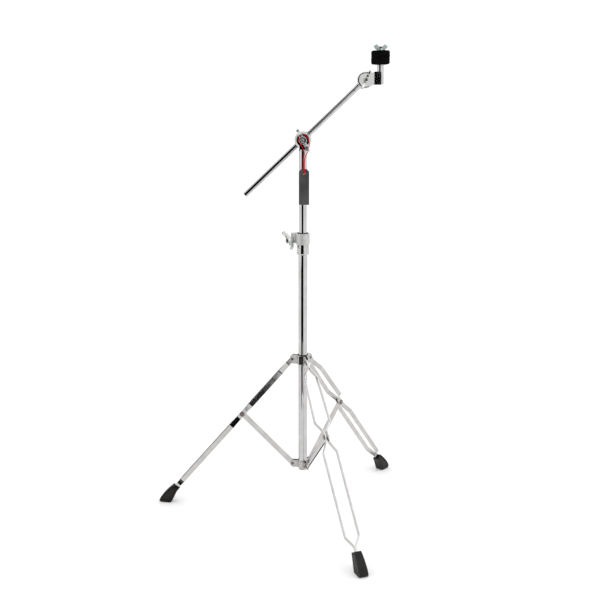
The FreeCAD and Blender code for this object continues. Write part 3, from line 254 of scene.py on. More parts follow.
# %% Cord
CORD_DIAMETER = 0.0022
CORD_POINTS = [
    (0.0014, -0.0119, 0.8610), (0.0013, -0.0137, 0.8642), (0.0010, -0.0138, 0.8730),
    (0.0008, -0.0135, 0.8850), (0.0011, -0.0130, 0.8955), (0.0018, -0.0122, 0.9050),
    (0.0030, -0.0115, 0.9130), (-0.0006, -0.0110, 0.9222), (-0.0062, -0.0109, 0.9314),
    (-0.0112, -0.0109, 0.9390), (-0.0124, -0.0109, 0.9450), (-0.0074, -0.0109, 0.9506),
    (0.0010, -0.0109, 0.9526), (0.0092, -0.0109, 0.9490), (0.0138, -0.0109, 0.9400),
    (0.0150, -0.0109, 0.9300), (0.0142, -0.0110, 0.9210), (0.0116, -0.0114, 0.9135),
    (0.0092, -0.0122, 0.9072), (0.0060, -0.0129, 0.9022), (0.0040, -0.0133, 0.8950),
    (0.0034, -0.0136, 0.8830), (0.0035, -0.0138, 0.8735), (0.0039, -0.0137, 0.8642),
    (0.0038, -0.0119, 0.8610),
]

# Each point's radius is the cord's own and the bevel is 1, which multiply to the same tube, because a
# curve's box is measured with the points' radius.
curve = bpy.data.curves.new("red_cord", "CURVE")
curve.dimensions = "3D"
spline = curve.splines.new("NURBS")
spline.points.add(len(CORD_POINTS) - 1)
for point, place in zip(spline.points, CORD_POINTS):
    point.co = (*place, 1)
    point.radius = CORD_DIAMETER / 2
spline.order_u = 3
spline.use_endpoint_u = True
curve.resolution_u = 8
curve.bevel_depth = 1.0
curve.bevel_resolution = 4
curve.use_fill_caps = True
cord = bpy.data.objects.new("red_cord", curve)
scene.collection.objects.link(cord)
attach(cord, BODY_OF["tag_cord"])
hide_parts("tag_cord")
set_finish(cord, "red_cord")

# %% [markdown]
# ## Rounded edges
# A CAD edge is perfectly sharp, so it never catches the light, and the eye reads it as a drawing. On
# pressed plate, bent strip and castings the edges are rolled or broken, and each shows a thin bright or
# dark line. The CAD mesh stays as it is: a copy is merged, its flat faces are joined again, and a bevel
# limited by angle rounds only the real edges. The copy is then shown in place of the node.

# %% A rounded copy of a CAD node
MERGE_DISTANCE = 0.00001
FLAT_WITHIN = 0.6         # degrees between triangles that belong to one flat face


def plain_copy(node, name):
    """Copy of a CAD node's mesh with its loose triangles merged into whole faces."""
    piece = bpy.data.objects.new(name, NODES[node].data.copy())
    scene.collection.objects.link(piece)
    only(piece)
    if piece.data.has_custom_normals:
        bpy.ops.mesh.customdata_custom_splitnormals_clear()
    bpy.ops.object.mode_set(mode="EDIT")
    bpy.ops.mesh.select_all(action="SELECT")
    bpy.ops.mesh.remove_doubles(threshold=MERGE_DISTANCE)
    bpy.ops.mesh.dissolve_limited(angle_limit=math.radians(FLAT_WITHIN))
    bpy.ops.object.mode_set(mode="OBJECT")
    return piece


def round_edges(piece, width, segments=3, angle=30):
    bevel = piece.modifiers.new("edges", "BEVEL")
    bevel.width = width * MM
    bevel.segments = segments
    bevel.limit_method = "ANGLE"
    bevel.angle_limit = math.radians(angle)
    apply_modifiers(piece)


def settle_normals(piece):
    """Smooth the rounded edges and keep the flat faces between them flat."""
    smooth(piece, 40)
    weights = piece.modifiers.new("flat_faces", "WEIGHTED_NORMAL")
    weights.keep_sharp = True
    apply_modifiers(piece)


def rounded_copy(node, width, segments=3, angle=30):
    """Show node with its hard edges rounded by width mm."""
    piece = plain_copy(node, node + "_rounded")
    round_edges(piece, width, segments, angle)
    settle_normals(piece)
    stand_for(piece, node)


def select_faces(piece, wanted):
    """In edit mode, select the faces for which wanted(centre, normal) is true."""
    mesh = bmesh.from_edit_mesh(piece.data)
    mesh.select_mode = {"FACE"}
    chosen = 0
    for face in mesh.faces:
        face.select_set(wanted(face.calc_center_median() / MM, face.normal))
        chosen += face.select
    mesh.select_flush_mode()
    bmesh.update_edit_mesh(piece.data)
    return chosen


def select_edges(piece, wanted):
    """Go to edit mode and select the edges whose two ends both have wanted(place in mm)."""
    only(piece)
    bpy.ops.object.mode_set(mode="EDIT")
    mesh = bmesh.from_edit_mesh(piece.data)
    mesh.select_mode = {"EDGE"}
    for edge in mesh.edges:
        edge.select_set(all(wanted(corner.co / MM) for corner in edge.verts))
    mesh.select_flush_mode()
    bmesh.update_edit_mesh(piece.data)


# %% Strips, braces and collars
for leg in ("rear", "left", "front"):
    rounded_copy(leg + "_leg_strip_a", 0.6)
    rounded_copy(leg + "_leg_strip_b", 0.6)
    rounded_copy(leg + "_brace", 0.7)
    rounded_copy(leg + "_leg_rivet", 0.8)
    rounded_copy("upper_collar_plate_" + leg, 0.5)
    rounded_copy("lower_collar_plate_" + leg, 0.5)
for node in ("upper_collar_rivets", "lower_collar_rivets"):
    rounded_copy(node, 0.9)
rounded_copy("upper_collar_bush", 0.4)
rounded_copy("collar_lock_nut", 0.5)
rounded_copy("collar_lock_screw", 0.7)
print("rounded so far:", len(PIECES))

# %% Clamp, tilters and post
rounded_copy("height_clamp_body", 1.2, 4)
rounded_copy("height_clamp_bush", 0.5)
rounded_copy("height_clamp_bolt", 0.4)
rounded_copy("tilter_post", 1.0, 4)
rounded_copy("tilter_washer", 0.25, 2)
rounded_copy("cymbal_tilter_socket", 1.4, 5)
rounded_copy("cymbal_tilter_bolt", 0.9)
rounded_copy("cymbal_post", 0.8)
rounded_copy("cymbal_seat", 0.3, 2)

# %% Turned rim of the boom holder
RIM_INNER_R = 19.0        # the rim's edges lie beyond this radius
RIM_CHAMFER = 4.4

holder = plain_copy("boom_holder", "boom_holder_turned")
axis_x, axis_z = 0.0, joint_line("boom_tilt")[0].z / MM
front_y = min(vertex.co.y for vertex in holder.data.vertices) / MM
select_edges(holder, lambda place: place.y < front_y + 0.1
             and math.hypot(place.x - axis_x, place.z - axis_z) > RIM_INNER_R)
bpy.ops.mesh.bevel(offset=RIM_CHAMFER * MM, segments=1, affect="EDGES")
bpy.ops.object.mode_set(mode="OBJECT")
round_edges(holder, 0.6)
settle_normals(holder)
stand_for(holder, "boom_holder")

# %% Domed end of the eye bolt
DOME = 3.2

eye_bolt = plain_copy("tilter_eye_bolt", "tilter_eye_bolt_domed")
end_y = min(vertex.co.y for vertex in eye_bolt.data.vertices) / MM
select_edges(eye_bolt, lambda place: place.y < end_y + 0.1)
bpy.ops.mesh.bevel(offset=DOME * MM, segments=5, affect="EDGES")
bpy.ops.object.mode_set(mode="OBJECT")
settle_normals(eye_bolt)
stand_for(eye_bolt, "tilter_eye_bolt")

# %% Cast arm of the cymbal tilter
LEAN = 6.0                # draft of the web, so that its face looks a little upwards
WEB_SET_BACK = 3.5        # the web's face lies this far behind the front of the block

arm = plain_copy("cymbal_tilter_arm", "cymbal_tilter_arm_cast")
bpy.ops.object.mode_set(mode="EDIT")
front_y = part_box("cymbal_tilter_arm")[0].y / MM + WEB_SET_BACK
found = select_faces(arm, lambda centre, normal: normal.y < -0.9 and abs(centre.y - front_y) < 0.5)
low_z = min(vertex.co.z for vertex in NODES["cymbal_tilter_arm"].data.vertices)
bpy.ops.transform.rotate(value=math.radians(LEAN), orient_axis="X",
                         center_override=(0, front_y * MM, low_z))
bpy.ops.object.mode_set(mode="OBJECT")
round_edges(arm, 1.6, 4)
settle_normals(arm)
stand_for(arm, "cymbal_tilter_arm")
print("front faces leant back:", found, "rounded copies:", len(PIECES))

# %% [markdown]
# ## Wing nuts
# A wing nut is a cast hub with two paddles that grow out of it, get thinner, and turn up at the tips.
# It is modelled lying on the origin with its axis up: a cone for the hub, and a small block whose end
# face is extruded through a few stations for a paddle. The second paddle is the first one turned half
# round. A voxel remesh then fuses hub and paddles into one skin, and a smooth modifier melts the joins
# the way metal fills the corners of a mould.

# %% Extruding a face through stations


def extrude_through(stations, long_axis):
    """Extrude the selected end face from the first station through the others.

    A station is (x, z, length, width, tilt) in mm and degrees: the face's centre, its size along
    long_axis ("X" or "Z") and along Y, and how far it is turned from X towards Z.
    """
    x, z, length, width, tilt = stations[0]
    for new_x, new_z, new_length, new_width, new_tilt in stations[1:]:
        bpy.ops.mesh.extrude_region_move(
            TRANSFORM_OT_translate={"value": ((new_x - x) * MM, 0, (new_z - z) * MM)})
        centre = (new_x * MM, 0, new_z * MM)
        grow = new_length / length
        size = (grow if long_axis == "X" else 1, new_width / width, grow if long_axis == "Z" else 1)
        bpy.ops.transform.rotate(value=math.radians(-tilt), orient_axis="Y", center_override=centre)
        bpy.ops.transform.resize(value=size, center_override=centre)
        bpy.ops.transform.rotate(value=math.radians(new_tilt), orient_axis="Y",
                                 center_override=centre)
        x, z, length, width, tilt = new_x, new_z, new_length, new_width, new_tilt


# %% A wing nut at the origin
MELT_ROUNDS = 7


def wing_nut(name, paddle, hub_low_r, hub_top_r, hub_height, hole_r, voxel):
    """Cast wing nut, base on the floor of its own space, paddles along X. Sizes are in mm."""
    deselect_all()
    bpy.ops.mesh.primitive_cone_add(vertices=48, radius1=hub_low_r * MM, radius2=hub_top_r * MM,
                                    depth=hub_height * MM, location=(0, 0, hub_height * MM / 2))
    hub = bpy.context.object
    bpy.ops.object.mode_set(mode="EDIT")
    select_faces(hub, lambda centre, normal: normal.z > 0.9)
    bpy.ops.mesh.inset(thickness=(hub_top_r - hole_r) * MM)
    bpy.ops.mesh.extrude_region_move(
        TRANSFORM_OT_translate={"value": (0, 0, -0.45 * hub_height * MM)})
    bpy.ops.object.mode_set(mode="OBJECT")
    halves = [hub]
    for turn in (0, 180):
        deselect_all()
        x, z, length, width, tilt = paddle[0]
        start = hole_r * 1.15
        bpy.ops.mesh.primitive_cube_add(size=1, location=((start + x) / 2 * MM, 0, z * MM))
        wing = bpy.context.object
        bpy.ops.object.mode_set(mode="EDIT")
        bpy.ops.transform.resize(value=((x - start) * MM, width * MM, length * MM),
                                 center_override=wing.location)
        select_faces(wing, lambda centre, normal: normal.x > 0.9)
        extrude_through(paddle, "Z")
        bpy.ops.mesh.select_all(action="SELECT")
        bpy.ops.transform.rotate(value=math.radians(turn), orient_axis="Z",
                                 center_override=(0, 0, 0))
        bpy.ops.object.mode_set(mode="OBJECT")
        halves.append(wing)
    deselect_all()
    for half in halves:
        half.select_set(True)
    bpy.context.view_layer.objects.active = hub
    bpy.ops.object.join()
    hub.name = name
    freeze(hub)
    remesh = hub.modifiers.new("one_skin", "REMESH")
    remesh.mode = "VOXEL"
    remesh.voxel_size = voxel * MM
    melt = hub.modifiers.new("melt", "SMOOTH")
    melt.factor = 0.5
    melt.iterations = MELT_ROUNDS
    apply_modifiers(hub)
    bpy.ops.object.shade_smooth()
    return hub


# Stations of a paddle: x, z, length, width and tilt.
BIG_PADDLE = [(6.0, 7.8, 9.0, 8.0, 0), (11.0, 8.0, 8.2, 8.0, 4), (16.5, 9.2, 7.8, 8.0, 16),
              (21.5, 11.2, 7.8, 8.0, 26), (26.0, 13.4, 7.2, 7.6, 32), (28.8, 14.8, 5.4, 6.4, 36)]
SMALL_PADDLE = [(4.4, 7.6, 6.6, 5.4, 0), (8.4, 7.9, 6.0, 5.4, 6), (12.6, 9.2, 5.6, 5.6, 22),
                (16.6, 11.2, 5.8, 5.8, 34), (20.0, 13.0, 5.2, 5.6, 40), (22.0, 14.2, 3.8, 4.8, 44)]
PRESSED_PADDLE = [(3.2, 3.8, 6.4, 4.6, 0), (6.2, 4.7, 9.0, 4.2, 30), (8.7, 6.5, 9.8, 3.8, 46),
                  (10.7, 8.6, 9.8, 3.6, 54), (12.1, 10.5, 9.2, 3.4, 58),
                  (12.8, 11.8, 7.4, 2.8, 60)]

# %% Stand a nut up along its own joint


def seat_of(node, joint):
    """Base point, axis and wing direction of a CAD nut, read from its mesh and its joint."""
    point, axis = joint_line(joint)
    places = [vertex.co - point for vertex in NODES[node].data.vertices]
    heights = [place.dot(axis) for place in places]
    spans = [place - axis * height for place, height in zip(places, heights)]
    far = max(spans, key=lambda span: span.length)
    tip = Vector((0, 0, 0))
    for span in spans:
        if span.length > far.length - 0.4 * MM and span.dot(far) > 0:
            tip += span
    return point + axis * min(heights), axis, tip.normalized()


def stand_along(piece, base, axis, wings):
    """Move a piece from the origin so that its Z lies along axis and its X along wings."""
    side = axis.cross(wings)
    turn = Matrix((wings, side, axis)).transposed().to_4x4()
    piece.matrix_world = Matrix.Translation(base) @ turn
    freeze(piece)


def place_nut(nut, node, joint):
    base, axis, wings = seat_of(node, joint)
    if axis.dot(centre_of(node) - base) < 0:
        axis = -axis
    stand_along(nut, base, axis, wings)
    stand_for(nut, node)
    print(nut.name, "size, mm:", sizes_mm(nut.dimensions), "CAD:", sizes_mm(size_of(node)))


place_nut(wing_nut("tilter_nut_cast", BIG_PADDLE, 9.8, 8.8, 15.0, 4.6, 0.42),
          "tilter_wing_nut", "tilter_nut_spin")
place_nut(wing_nut("clamp_nut_cast", BIG_PADDLE, 8.6, 7.6, 15.0, 4.6, 0.42),
          "height_clamp_wing_nut", "height_clamp_nut_spin")
place_nut(wing_nut("cymbal_tilter_nut_cast", SMALL_PADDLE, 6.2, 5.4, 11.0, 3.4, 0.34),
          "cymbal_tilter_wing_nut", "cymbal_tilter_nut_spin")
place_nut(wing_nut("cymbal_nut_pressed", PRESSED_PADDLE, 7.2, 6.0, 4.6, 4.1, 0.30),
          "cymbal_wing_nut", "cymbal_nut_spin")

# %% [markdown]
# ## Rubber feet
# Each foot is a moulded boot: flat sole, curved toe, and a mouth that grips the ends of the two
# strips. Its section hardly changes on the way up, so it is one face extruded from the sole to the
# mouth while it leans over to meet the leg. Insets on the flanks make the groove round a raised panel.
# One boot is modelled on the X axis and turned to the three legs.

# %% Model one boot
SOLE_START, SOLE_END = 348.0, 375.0
SOLE_WIDTH = 22.6
SOLE_STATION = (361.5, 1.0, 27.0, SOLE_WIDTH, 0)
PANEL_BORDER, GROOVE_WIDTH, GROOVE_DEPTH = 2.6, 0.9, 1.3
MOUTH_LIP, MOUTH_DEPTH = 2.2, 3.0
BOOT_SIDES = [  # inner point x, z, outer point x, z, width
    (348.0, 1.0, 375.2, 1.0, 22.2), (345.4, 3.6, 378.6, 4.6, 22.0), (342.6, 10.0, 375.4, 12.6, 21.6),
    (339.6, 16.8, 369.6, 20.6, 21.0), (336.4, 23.4, 362.2, 28.6, 20.2),
    (332.8, 29.0, 354.6, 36.2, 19.2), (329.6, 33.6, 348.4, 41.8, 18.2),
    (326.8, 36.6, 343.6, 45.8, 17.2), (326.0, 37.4, 342.2, 46.9, 15.6)]


def station_between(inner_x, inner_z, outer_x, outer_z, width):
    run, rise = outer_x - inner_x, outer_z - inner_z
    return ((inner_x + outer_x) / 2, (inner_z + outer_z) / 2, math.hypot(run, rise), width,
            math.degrees(math.atan2(rise, run)))


deselect_all()
bpy.ops.mesh.primitive_cube_add(size=1, location=((SOLE_START + SOLE_END) / 2 * MM, 0, 0.5 * MM))
boot = bpy.context.object
bpy.ops.object.mode_set(mode="EDIT")
bpy.ops.transform.resize(value=((SOLE_END - SOLE_START) * MM, SOLE_WIDTH * MM, MM),
                         center_override=boot.location)
select_faces(boot, lambda centre, normal: normal.z > 0.9)
stations = [station_between(*side) for side in BOOT_SIDES]
extrude_through([SOLE_STATION] + stations[1:], "X")
bpy.ops.mesh.inset(thickness=MOUTH_LIP * MM)
bpy.ops.mesh.inset(thickness=0.4 * MM, depth=-MOUTH_DEPTH * MM)

# %% Panels on the flanks
for way in (1, -1):
    select_faces(boot, lambda centre, normal: normal.y * way > 0.9 and 3 < centre.z < 44)
    bpy.ops.mesh.inset(thickness=PANEL_BORDER * MM, depth=0)
    bpy.ops.mesh.inset(thickness=GROOVE_WIDTH * MM, depth=-GROOVE_DEPTH * MM)
    bpy.ops.mesh.inset(thickness=GROOVE_WIDTH * MM, depth=GROOVE_DEPTH * MM)
bpy.ops.object.mode_set(mode="OBJECT")
freeze(boot)
round_edges(boot, 1.5, 2, 25)
soften = boot.modifiers.new("soften", "SUBSURF")
soften.levels = soften.render_levels = 2
apply_modifiers(boot)
bpy.ops.object.shade_smooth()
print("boot, mm:", sizes_mm(boot.dimensions), "faces:", len(boot.data.polygons))

# %% Turn copies to the legs
LEG_AZIMUTHS = {"rear": 50.8, "left": 170.8, "front": 290.8}

boot.name = "boot_pattern"
for leg, azimuth in LEG_AZIMUTHS.items():
    foot = bpy.data.objects.new(leg + "_boot", boot.data.copy())
    scene.collection.objects.link(foot)
    foot.rotation_euler.z = math.radians(azimuth)
    freeze(foot)
    stand_for(foot, leg + "_foot")
bpy.data.objects.remove(boot)

# %% [markdown]
# ## Felts
# The two felts squeeze the cymbal. They are cut from thick wool felt, so their edges are soft and no
# two spots are quite level. A drum with a rounded rim is remeshed to small even faces, and a Displace
# modifier with a cloud texture pushes them in and out by a few tenths of a millimetre.

# %% Felts
FELT_R, FELT_DEPTH = 21.9, 16.1
OUTER_RIM, JOINT_RIM = 4.2, 0.9             # the two felts meet at their sharper rims
FELT_LEAN = 1.2                             # degrees; they never sit quite level

lumps = bpy.data.textures.new("felt_lumps", "CLOUDS")
lumps.noise_scale = 0.009
lumps.noise_depth = 3
for node in ("felt_lower", "felt_upper"):
    middle = centre_of(node)
    deselect_all()
    bpy.ops.mesh.primitive_cylinder_add(vertices=72, radius=FELT_R * MM, depth=FELT_DEPTH * MM,
                                        location=middle)
    felt = bpy.context.object
    felt.name = node + "_wool"
    freeze(felt)
    bpy.ops.object.mode_set(mode="EDIT")
    for way, rim in ((1, OUTER_RIM if node == "felt_upper" else JOINT_RIM),
                     (-1, OUTER_RIM if node == "felt_lower" else JOINT_RIM)):
        select_faces(felt, lambda centre, normal: normal.z * way > 0.9)
        bpy.ops.mesh.region_to_loop()
        bpy.ops.mesh.bevel(offset=rim * MM, segments=5, affect="EDGES")
    bpy.ops.mesh.select_all(action="SELECT")
    bpy.ops.transform.rotate(value=math.radians(FELT_LEAN), orient_axis="Y",
                             center_override=middle)
    bpy.ops.object.mode_set(mode="OBJECT")
    skin = felt.modifiers.new("even_faces", "REMESH")
    skin.mode = "VOXEL"
    skin.voxel_size = 0.8 * MM
    push = felt.modifiers.new("lumps", "DISPLACE")
    push.texture = lumps
    push.texture_coords = "LOCAL"
    push.strength = 1.5 * MM
    push.mid_level = 0.62
    ease = felt.modifiers.new("ease", "SMOOTH")
    ease.factor = 0.5
    ease.iterations = 2
    apply_modifiers(felt)
    bpy.ops.object.shade_smooth()
    stand_for(felt, node)
    print(felt.name, "size, mm:", sizes_mm(felt.dimensions), "CAD:", sizes_mm(size_of(node)))

# %% [markdown]
# ## Screw thread
# An M8 thread climbs 1.25 mm a turn. Its profile is a square standing on one corner with the inner
# corner taken away, which leaves the two flanks of one tooth. The Screw modifier winds that round the
# axis. The ends are cut level with bisect, which also fills them.

# %% Cymbal rod with its thread
low, high = (Vector(corner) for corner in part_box("cymbal_threaded_rod"))
axis_x, axis_y = (low.x + high.x) / 2, (low.y + high.y) / 2
PITCH, THREAD_R = 1.25, 4.0
TURNS = math.ceil((high.z - low.z) / MM / PITCH) + 2
deselect_all()
bpy.ops.mesh.primitive_plane_add(size=PITCH / math.sqrt(2) * MM,
                                 location=((THREAD_R - PITCH / 2) * MM, 0, 0))
rod = bpy.context.object
rod.name = "cymbal_rod_threaded"
bpy.ops.object.mode_set(mode="EDIT")
bpy.ops.mesh.select_all(action="SELECT")
bpy.ops.transform.rotate(value=math.radians(45), orient_axis="Z", center_override=rod.location)
bpy.ops.transform.rotate(value=math.radians(90), orient_axis="X", center_override=rod.location)
mesh = bmesh.from_edit_mesh(rod.data)
inner = min(mesh.verts, key=lambda vertex: vertex.co.x)
bpy.ops.mesh.select_all(action="DESELECT")
mesh.select_mode = {"VERT"}
inner.select_set(True)
bmesh.update_edit_mesh(rod.data)
bpy.ops.mesh.delete(type="VERT")
bpy.ops.object.mode_set(mode="OBJECT")
freeze(rod)
print("profile corners:", len(rod.data.vertices))
wind = rod.modifiers.new("wind", "SCREW")
wind.axis = "Z"
wind.steps = wind.render_steps = 20
wind.iterations = TURNS
wind.screw_offset = PITCH * MM
wind.use_merge_vertices = True
wind.merge_threshold = 0.00002
apply_modifiers(rod)
rod.location = (axis_x, axis_y, low.z - PITCH * MM)
freeze(rod)
bpy.ops.object.mode_set(mode="EDIT")
for height, way in ((low.z + 0.0002, -1), (high.z - 0.0004, 1)):
    bpy.ops.mesh.select_all(action="SELECT")
    bpy.ops.mesh.bisect(plane_co=(axis_x, axis_y, height), plane_no=(0, 0, way), use_fill=True,
                        clear_outer=True)
bpy.ops.mesh.select_all(action="SELECT")
bpy.ops.mesh.normals_make_consistent(inside=False)
bpy.ops.object.mode_set(mode="OBJECT")
smooth(rod, 25)
stand_for(rod, "cymbal_threaded_rod")
print("thread, mm:", sizes_mm(rod.dimensions), "faces:", len(rod.data.polygons))

# %% [markdown]
# ## Node groups for the finishes
# A dent, a smudge or a hair-line scratch looks alike on every metal of the stand, so each effect is one
# node group with named inputs. Every material then places the group with its own values.

# %% A helper that builds groups


def new_group(name, inputs, outputs):
    """Empty shader group with float inputs {name: default} and outputs {name: socket type}."""
    group = bpy.data.node_groups.new(name, "ShaderNodeTree")
    for label, value in inputs.items():
        socket = group.interface.new_socket(label, in_out="INPUT", socket_type="NodeSocketFloat")
        socket.default_value = value
    for label, kind in outputs.items():
        group.interface.new_socket(label, in_out="OUTPUT", socket_type=kind)
    return group, group.nodes.new("NodeGroupInput"), group.nodes.new("NodeGroupOutput")


def add_node(tree, kind, **settings):
    node = tree.nodes.new(kind)
    for label, value in settings.items():
        if hasattr(node, label):
            setattr(node, label, value)
        else:
            node.inputs[label.replace("_", " ")].default_value = value
    return node


def remap(tree, source, low, high, to_low, to_high):
    """Map Range from source, clamped."""
    node = add_node(tree, "ShaderNodeMapRange")
    node.inputs["From Min"].default_value = low
    node.inputs["From Max"].default_value = high
    node.inputs["To Min"].default_value = to_low
    node.inputs["To Max"].default_value = to_high
    tree.links.new(source, node.inputs["Value"])
    return node


# %% Smudges: soft patches that change the gloss
smudges, entry, leave = new_group("smudges", {"Scale": 40.0, "Low": 0.06, "High": 0.12},
                                  {"Roughness": "NodeSocketFloat", "Mask": "NodeSocketFloat"})
place = add_node(smudges, "ShaderNodeTexCoord")
cloud = add_node(smudges, "ShaderNodeTexNoise", Detail=4.0, Roughness=0.6)
spread = add_node(smudges, "ShaderNodeMapRange")
smudges.links.new(place.outputs["Object"], cloud.inputs["Vector"])
smudges.links.new(entry.outputs["Scale"], cloud.inputs["Scale"])
smudges.links.new(cloud.outputs["Fac"], spread.inputs["Value"])
spread.inputs["From Min"].default_value = 0.38
spread.inputs["From Max"].default_value = 0.66
smudges.links.new(entry.outputs["Low"], spread.inputs["To Min"])
smudges.links.new(entry.outputs["High"], spread.inputs["To Max"])
smudges.links.new(spread.outputs["Result"], leave.inputs["Roughness"])
smudges.links.new(cloud.outputs["Fac"], leave.inputs["Mask"])

# %% Grain: a height map of fine grains over slow waves, for castings, rubber, felt and card
grain, entry, leave = new_group("grain", {"Fine Scale": 900.0, "Slow Scale": 60.0, "Slow": 0.5},
                                {"Height": "NodeSocketFloat", "Mask": "NodeSocketFloat"})
place = add_node(grain, "ShaderNodeTexCoord")
fine = add_node(grain, "ShaderNodeTexNoise", Detail=6.0, Roughness=0.65)
slow = add_node(grain, "ShaderNodeTexNoise", Detail=2.0, Roughness=0.5)
blend = add_node(grain, "ShaderNodeMix", data_type="FLOAT")
for texture, label in ((fine, "Fine Scale"), (slow, "Slow Scale")):
    grain.links.new(place.outputs["Object"], texture.inputs["Vector"])
    grain.links.new(entry.outputs[label], texture.inputs["Scale"])
grain.links.new(entry.outputs["Slow"], blend.inputs["Factor"])
grain.links.new(fine.outputs["Fac"], blend.inputs["A"])
grain.links.new(slow.outputs["Fac"], blend.inputs["B"])
grain.links.new(blend.outputs["Result"], leave.inputs["Height"])
grain.links.new(slow.outputs["Fac"], leave.inputs["Mask"])

# %% Scratches: thin lines where a stretched voronoi pattern is close to its cell walls
scratches, entry, leave = new_group("scratches", {"Scale": 120.0, "Depth": 1.0},
                                    {"Height": "NodeSocketFloat"})
place = add_node(scratches, "ShaderNodeTexCoord")
stretch = add_node(scratches, "ShaderNodeMapping")
stretch.inputs["Rotation"].default_value = (0.5, 0.35, 0.8)
stretch.inputs["Scale"].default_value = (1.0, 7.0, 1.6)
cells = add_node(scratches, "ShaderNodeTexVoronoi", feature="DISTANCE_TO_EDGE")
thin = add_node(scratches, "ShaderNodeMapRange")
scratches.links.new(place.outputs["Object"], stretch.inputs["Vector"])
scratches.links.new(stretch.outputs["Vector"], cells.inputs["Vector"])
scratches.links.new(entry.outputs["Scale"], cells.inputs["Scale"])
scratches.links.new(cells.outputs["Distance"], thin.inputs["Value"])
thin.inputs["From Max"].default_value = 0.015
thin.inputs["To Min"].default_value = 0.0
scratches.links.new(entry.outputs["Depth"], thin.inputs["To Max"])
scratches.links.new(thin.outputs["Result"], leave.inputs["Height"])

# %% [markdown]
# ## Metals
# All the metals share one recipe: a shader with full metallic, a base colour, a roughness that the
# smudges move up and down, and a bump from grain or scratches. What tells chrome from zinc plate or a
# satin casting is how rough it is, how uneven, and its tint.

# %% Metal recipe


def place_group(tree, group, **values):
    node = tree.nodes.new("ShaderNodeGroup")
    node.node_tree = group
    for label, value in values.items():
        node.inputs[label.replace("_", " ")].default_value = value
    return node


def colour_between(tree, mask, dark, light, low=0.35, high=0.65):
    ramp = add_node(tree, "ShaderNodeValToRGB")
    ramp.color_ramp.elements[0].position = low
    ramp.color_ramp.elements[1].position = high
    ramp.color_ramp.elements[0].color = (*dark, 1)
    ramp.color_ramp.elements[1].color = (*light, 1)
    tree.links.new(mask, ramp.inputs["Fac"])
    return ramp


def bump_from(tree, height, distance, strength=1.0):
    bump = add_node(tree, "ShaderNodeBump")
    bump.inputs["Strength"].default_value = strength
    bump.inputs["Distance"].default_value = distance
    tree.links.new(height, bump.inputs["Height"])
    return bump


def metal(name, dark, light, rough, smudge_scale=40.0, grain_mm=0.0, grain_scale=900.0,
          scratch_mm=0.0, slow=0.5, satin_above=0.0):
    """Plated or cast metal; rough is its lowest and highest roughness.

    Above the height satin_above, in metres, the surface is left satin instead of polished.
    """
    material = bpy.data.materials.new(name)
    material.use_nodes = True
    tree = material.node_tree
    shader = tree.nodes["Principled BSDF"]
    shader.inputs["Metallic"].default_value = 1.0
    gloss = place_group(tree, smudges, Scale=smudge_scale, Low=rough[0], High=rough[1])
    tree.links.new(gloss.outputs["Roughness"], shader.inputs["Roughness"])
    tint = colour_between(tree, gloss.outputs["Mask"], dark, light)
    tree.links.new(tint.outputs["Color"], shader.inputs["Base Color"])
    if grain_mm:
        height = place_group(tree, grain, Fine_Scale=grain_scale, Slow_Scale=grain_scale / 12,
                             Slow=slow).outputs["Height"]
        bump = bump_from(tree, height, grain_mm * MM)
        tree.links.new(bump.outputs["Normal"], shader.inputs["Normal"])
    if satin_above:
        place = add_node(tree, "ShaderNodeTexCoord")
        split = add_node(tree, "ShaderNodeSeparateXYZ")
        tree.links.new(place.outputs["Object"], split.inputs["Vector"])
        for socket, polished, satin in (("Metallic", 1.0, 0.45), ("Roughness", 0.06, 0.5)):
            step = remap(tree, split.outputs["Z"], satin_above - 0.0006, satin_above, polished, satin)
            tree.links.new(step.outputs["Result"], shader.inputs[socket])
    if scratch_mm and not grain_mm:
        height = place_group(tree, scratches).outputs["Height"]
        bump = bump_from(tree, height, -scratch_mm * MM)
        tree.links.new(bump.outputs["Normal"], shader.inputs["Normal"])
    return material


FINISH = {
    "chromed_tube": metal("chromed_tube", (0.50, 0.49, 0.485), (0.58, 0.58, 0.585), (0.03, 0.07)),
    "chromed_fitting": metal("chromed_fitting", (0.52, 0.51, 0.505), (0.60, 0.60, 0.60),
                             (0.03, 0.08), grain_mm=0.06, grain_scale=700, slow=1.0),
    "chromed_plate": metal("chromed_plate", (0.46, 0.445, 0.44), (0.56, 0.55, 0.545),
                           (0.06, 0.14), grain_mm=0.10, grain_scale=800, slow=1.0),
    "zinc_plate": metal("zinc_plate", (0.42, 0.405, 0.40), (0.52, 0.505, 0.50), (0.24, 0.36),
                        grain_mm=0.04, grain_scale=500),
    "rivet_steel": metal("rivet_steel", (0.16, 0.13, 0.12), (0.26, 0.22, 0.21), (0.26, 0.40),
                         grain_mm=0.05, grain_scale=700),
    "plated_strip": metal("plated_strip", (0.48, 0.465, 0.455), (0.58, 0.57, 0.565), (0.07, 0.15),
                          scratch_mm=0.004),
    "satin_casting": metal("satin_casting", (0.46, 0.46, 0.455), (0.60, 0.60, 0.595), (0.30, 0.42),
                           smudge_scale=220, grain_mm=0.02, grain_scale=420,
                           satin_above=0.6912),
    "satin_nut": metal("satin_nut", (0.56, 0.58, 0.56), (0.70, 0.72, 0.70), (0.18, 0.28),
                       smudge_scale=140, grain_mm=0.04, grain_scale=420),
    "zinc_nut": metal("zinc_nut", (0.30, 0.38, 0.355), (0.44, 0.51, 0.485), (0.28, 0.40),
                      smudge_scale=160, grain_mm=0.04, grain_scale=700),
    "threaded_steel": metal("threaded_steel", (0.22, 0.17, 0.12), (0.40, 0.32, 0.24),
                            (0.30, 0.48), smudge_scale=200),
    "seat_steel": metal("seat_steel", (0.44, 0.44, 0.45), (0.54, 0.54, 0.55), (0.24, 0.34),
                        scratch_mm=0.01),
}
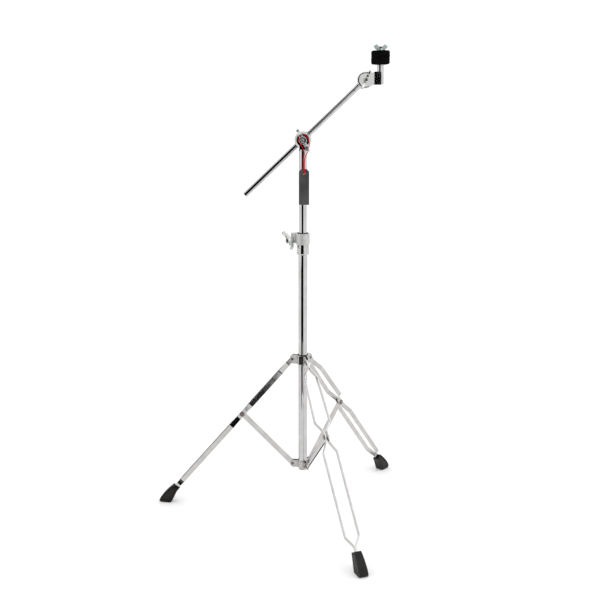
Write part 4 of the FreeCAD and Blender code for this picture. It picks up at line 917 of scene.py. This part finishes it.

# %% [markdown]
# ## Plastic, rubber, felt, cord and card
# These are not metal. Rubber and moulded plastic are dark with a dull, slightly uneven sheen. Felt
# scatters light in its fibres; here it is simply very dark and fully rough. The cord gets the small
# bumps of a braid, and the card a matte face.

# %% Soft and moulded finishes


def dull(name, dark, light, rough, fine_scale, slow_scale, bump_mm, slow=0.4, sheen=0.0,
         shine=0.5):
    material = bpy.data.materials.new(name)
    material.use_nodes = True
    tree = material.node_tree
    shader = tree.nodes["Principled BSDF"]
    shader.inputs["Sheen Weight"].default_value = sheen
    shader.inputs["Sheen Roughness"].default_value = 0.4
    shader.inputs["Specular IOR Level"].default_value = shine
    surface = place_group(tree, grain, Fine_Scale=fine_scale, Slow_Scale=slow_scale, Slow=slow)
    tint = colour_between(tree, surface.outputs["Mask"], dark, light)
    tree.links.new(tint.outputs["Color"], shader.inputs["Base Color"])
    gloss = remap(tree, surface.outputs["Mask"], 0.3, 0.7, rough[0], rough[1])
    tree.links.new(gloss.outputs["Result"], shader.inputs["Roughness"])
    bump = bump_from(tree, surface.outputs["Height"], bump_mm * MM)
    tree.links.new(bump.outputs["Normal"], shader.inputs["Normal"])
    return material


FINISH["black_plastic"] = dull("black_plastic", (0.012, 0.012, 0.012), (0.022, 0.022, 0.022),
                               (0.38, 0.52), 1400, 90, 0.02, shine=0.3)
FINISH["foot_rubber"] = dull("foot_rubber", (0.006, 0.0055, 0.005), (0.014, 0.012, 0.011),
                             (0.34, 0.50), 1100, 70, 0.05, shine=0.22)
FINISH["black_felt"] = dull("black_felt", (0.0012, 0.0012, 0.0013), (0.004, 0.004, 0.004),
                            (0.92, 1.0), 1500, 160, 0.35, slow=0.3, shine=0.04)
FINISH["red_cord"] = dull("red_cord", (0.34, 0.001, 0.004), (0.56, 0.002, 0.010),
                          (0.62, 0.75), 2600, 400, 0.12, slow=0.2, shine=0.12)
FINISH["tag_card"] = dull("tag_card", (0.040, 0.039, 0.040), (0.060, 0.058, 0.060),
                          (0.50, 0.62), 1800, 50, 0.02, shine=0.4)

# %% Give every node and piece its finish
for node, piece in NODES.items():
    piece.data.materials.clear()
    piece.data.materials.append(FINISH[SLOT_OF[node]])
cord.data.materials.append(FINISH["red_cord"])
for piece in PIECES:
    piece.data.materials.clear()
    piece.data.materials.append(FINISH[piece["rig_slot"]])

print("finishes:", len(FINISH), "for", len(NODES), "nodes and", len(PIECES), "new meshes")

# %% Bounds of everything shown
low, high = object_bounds()
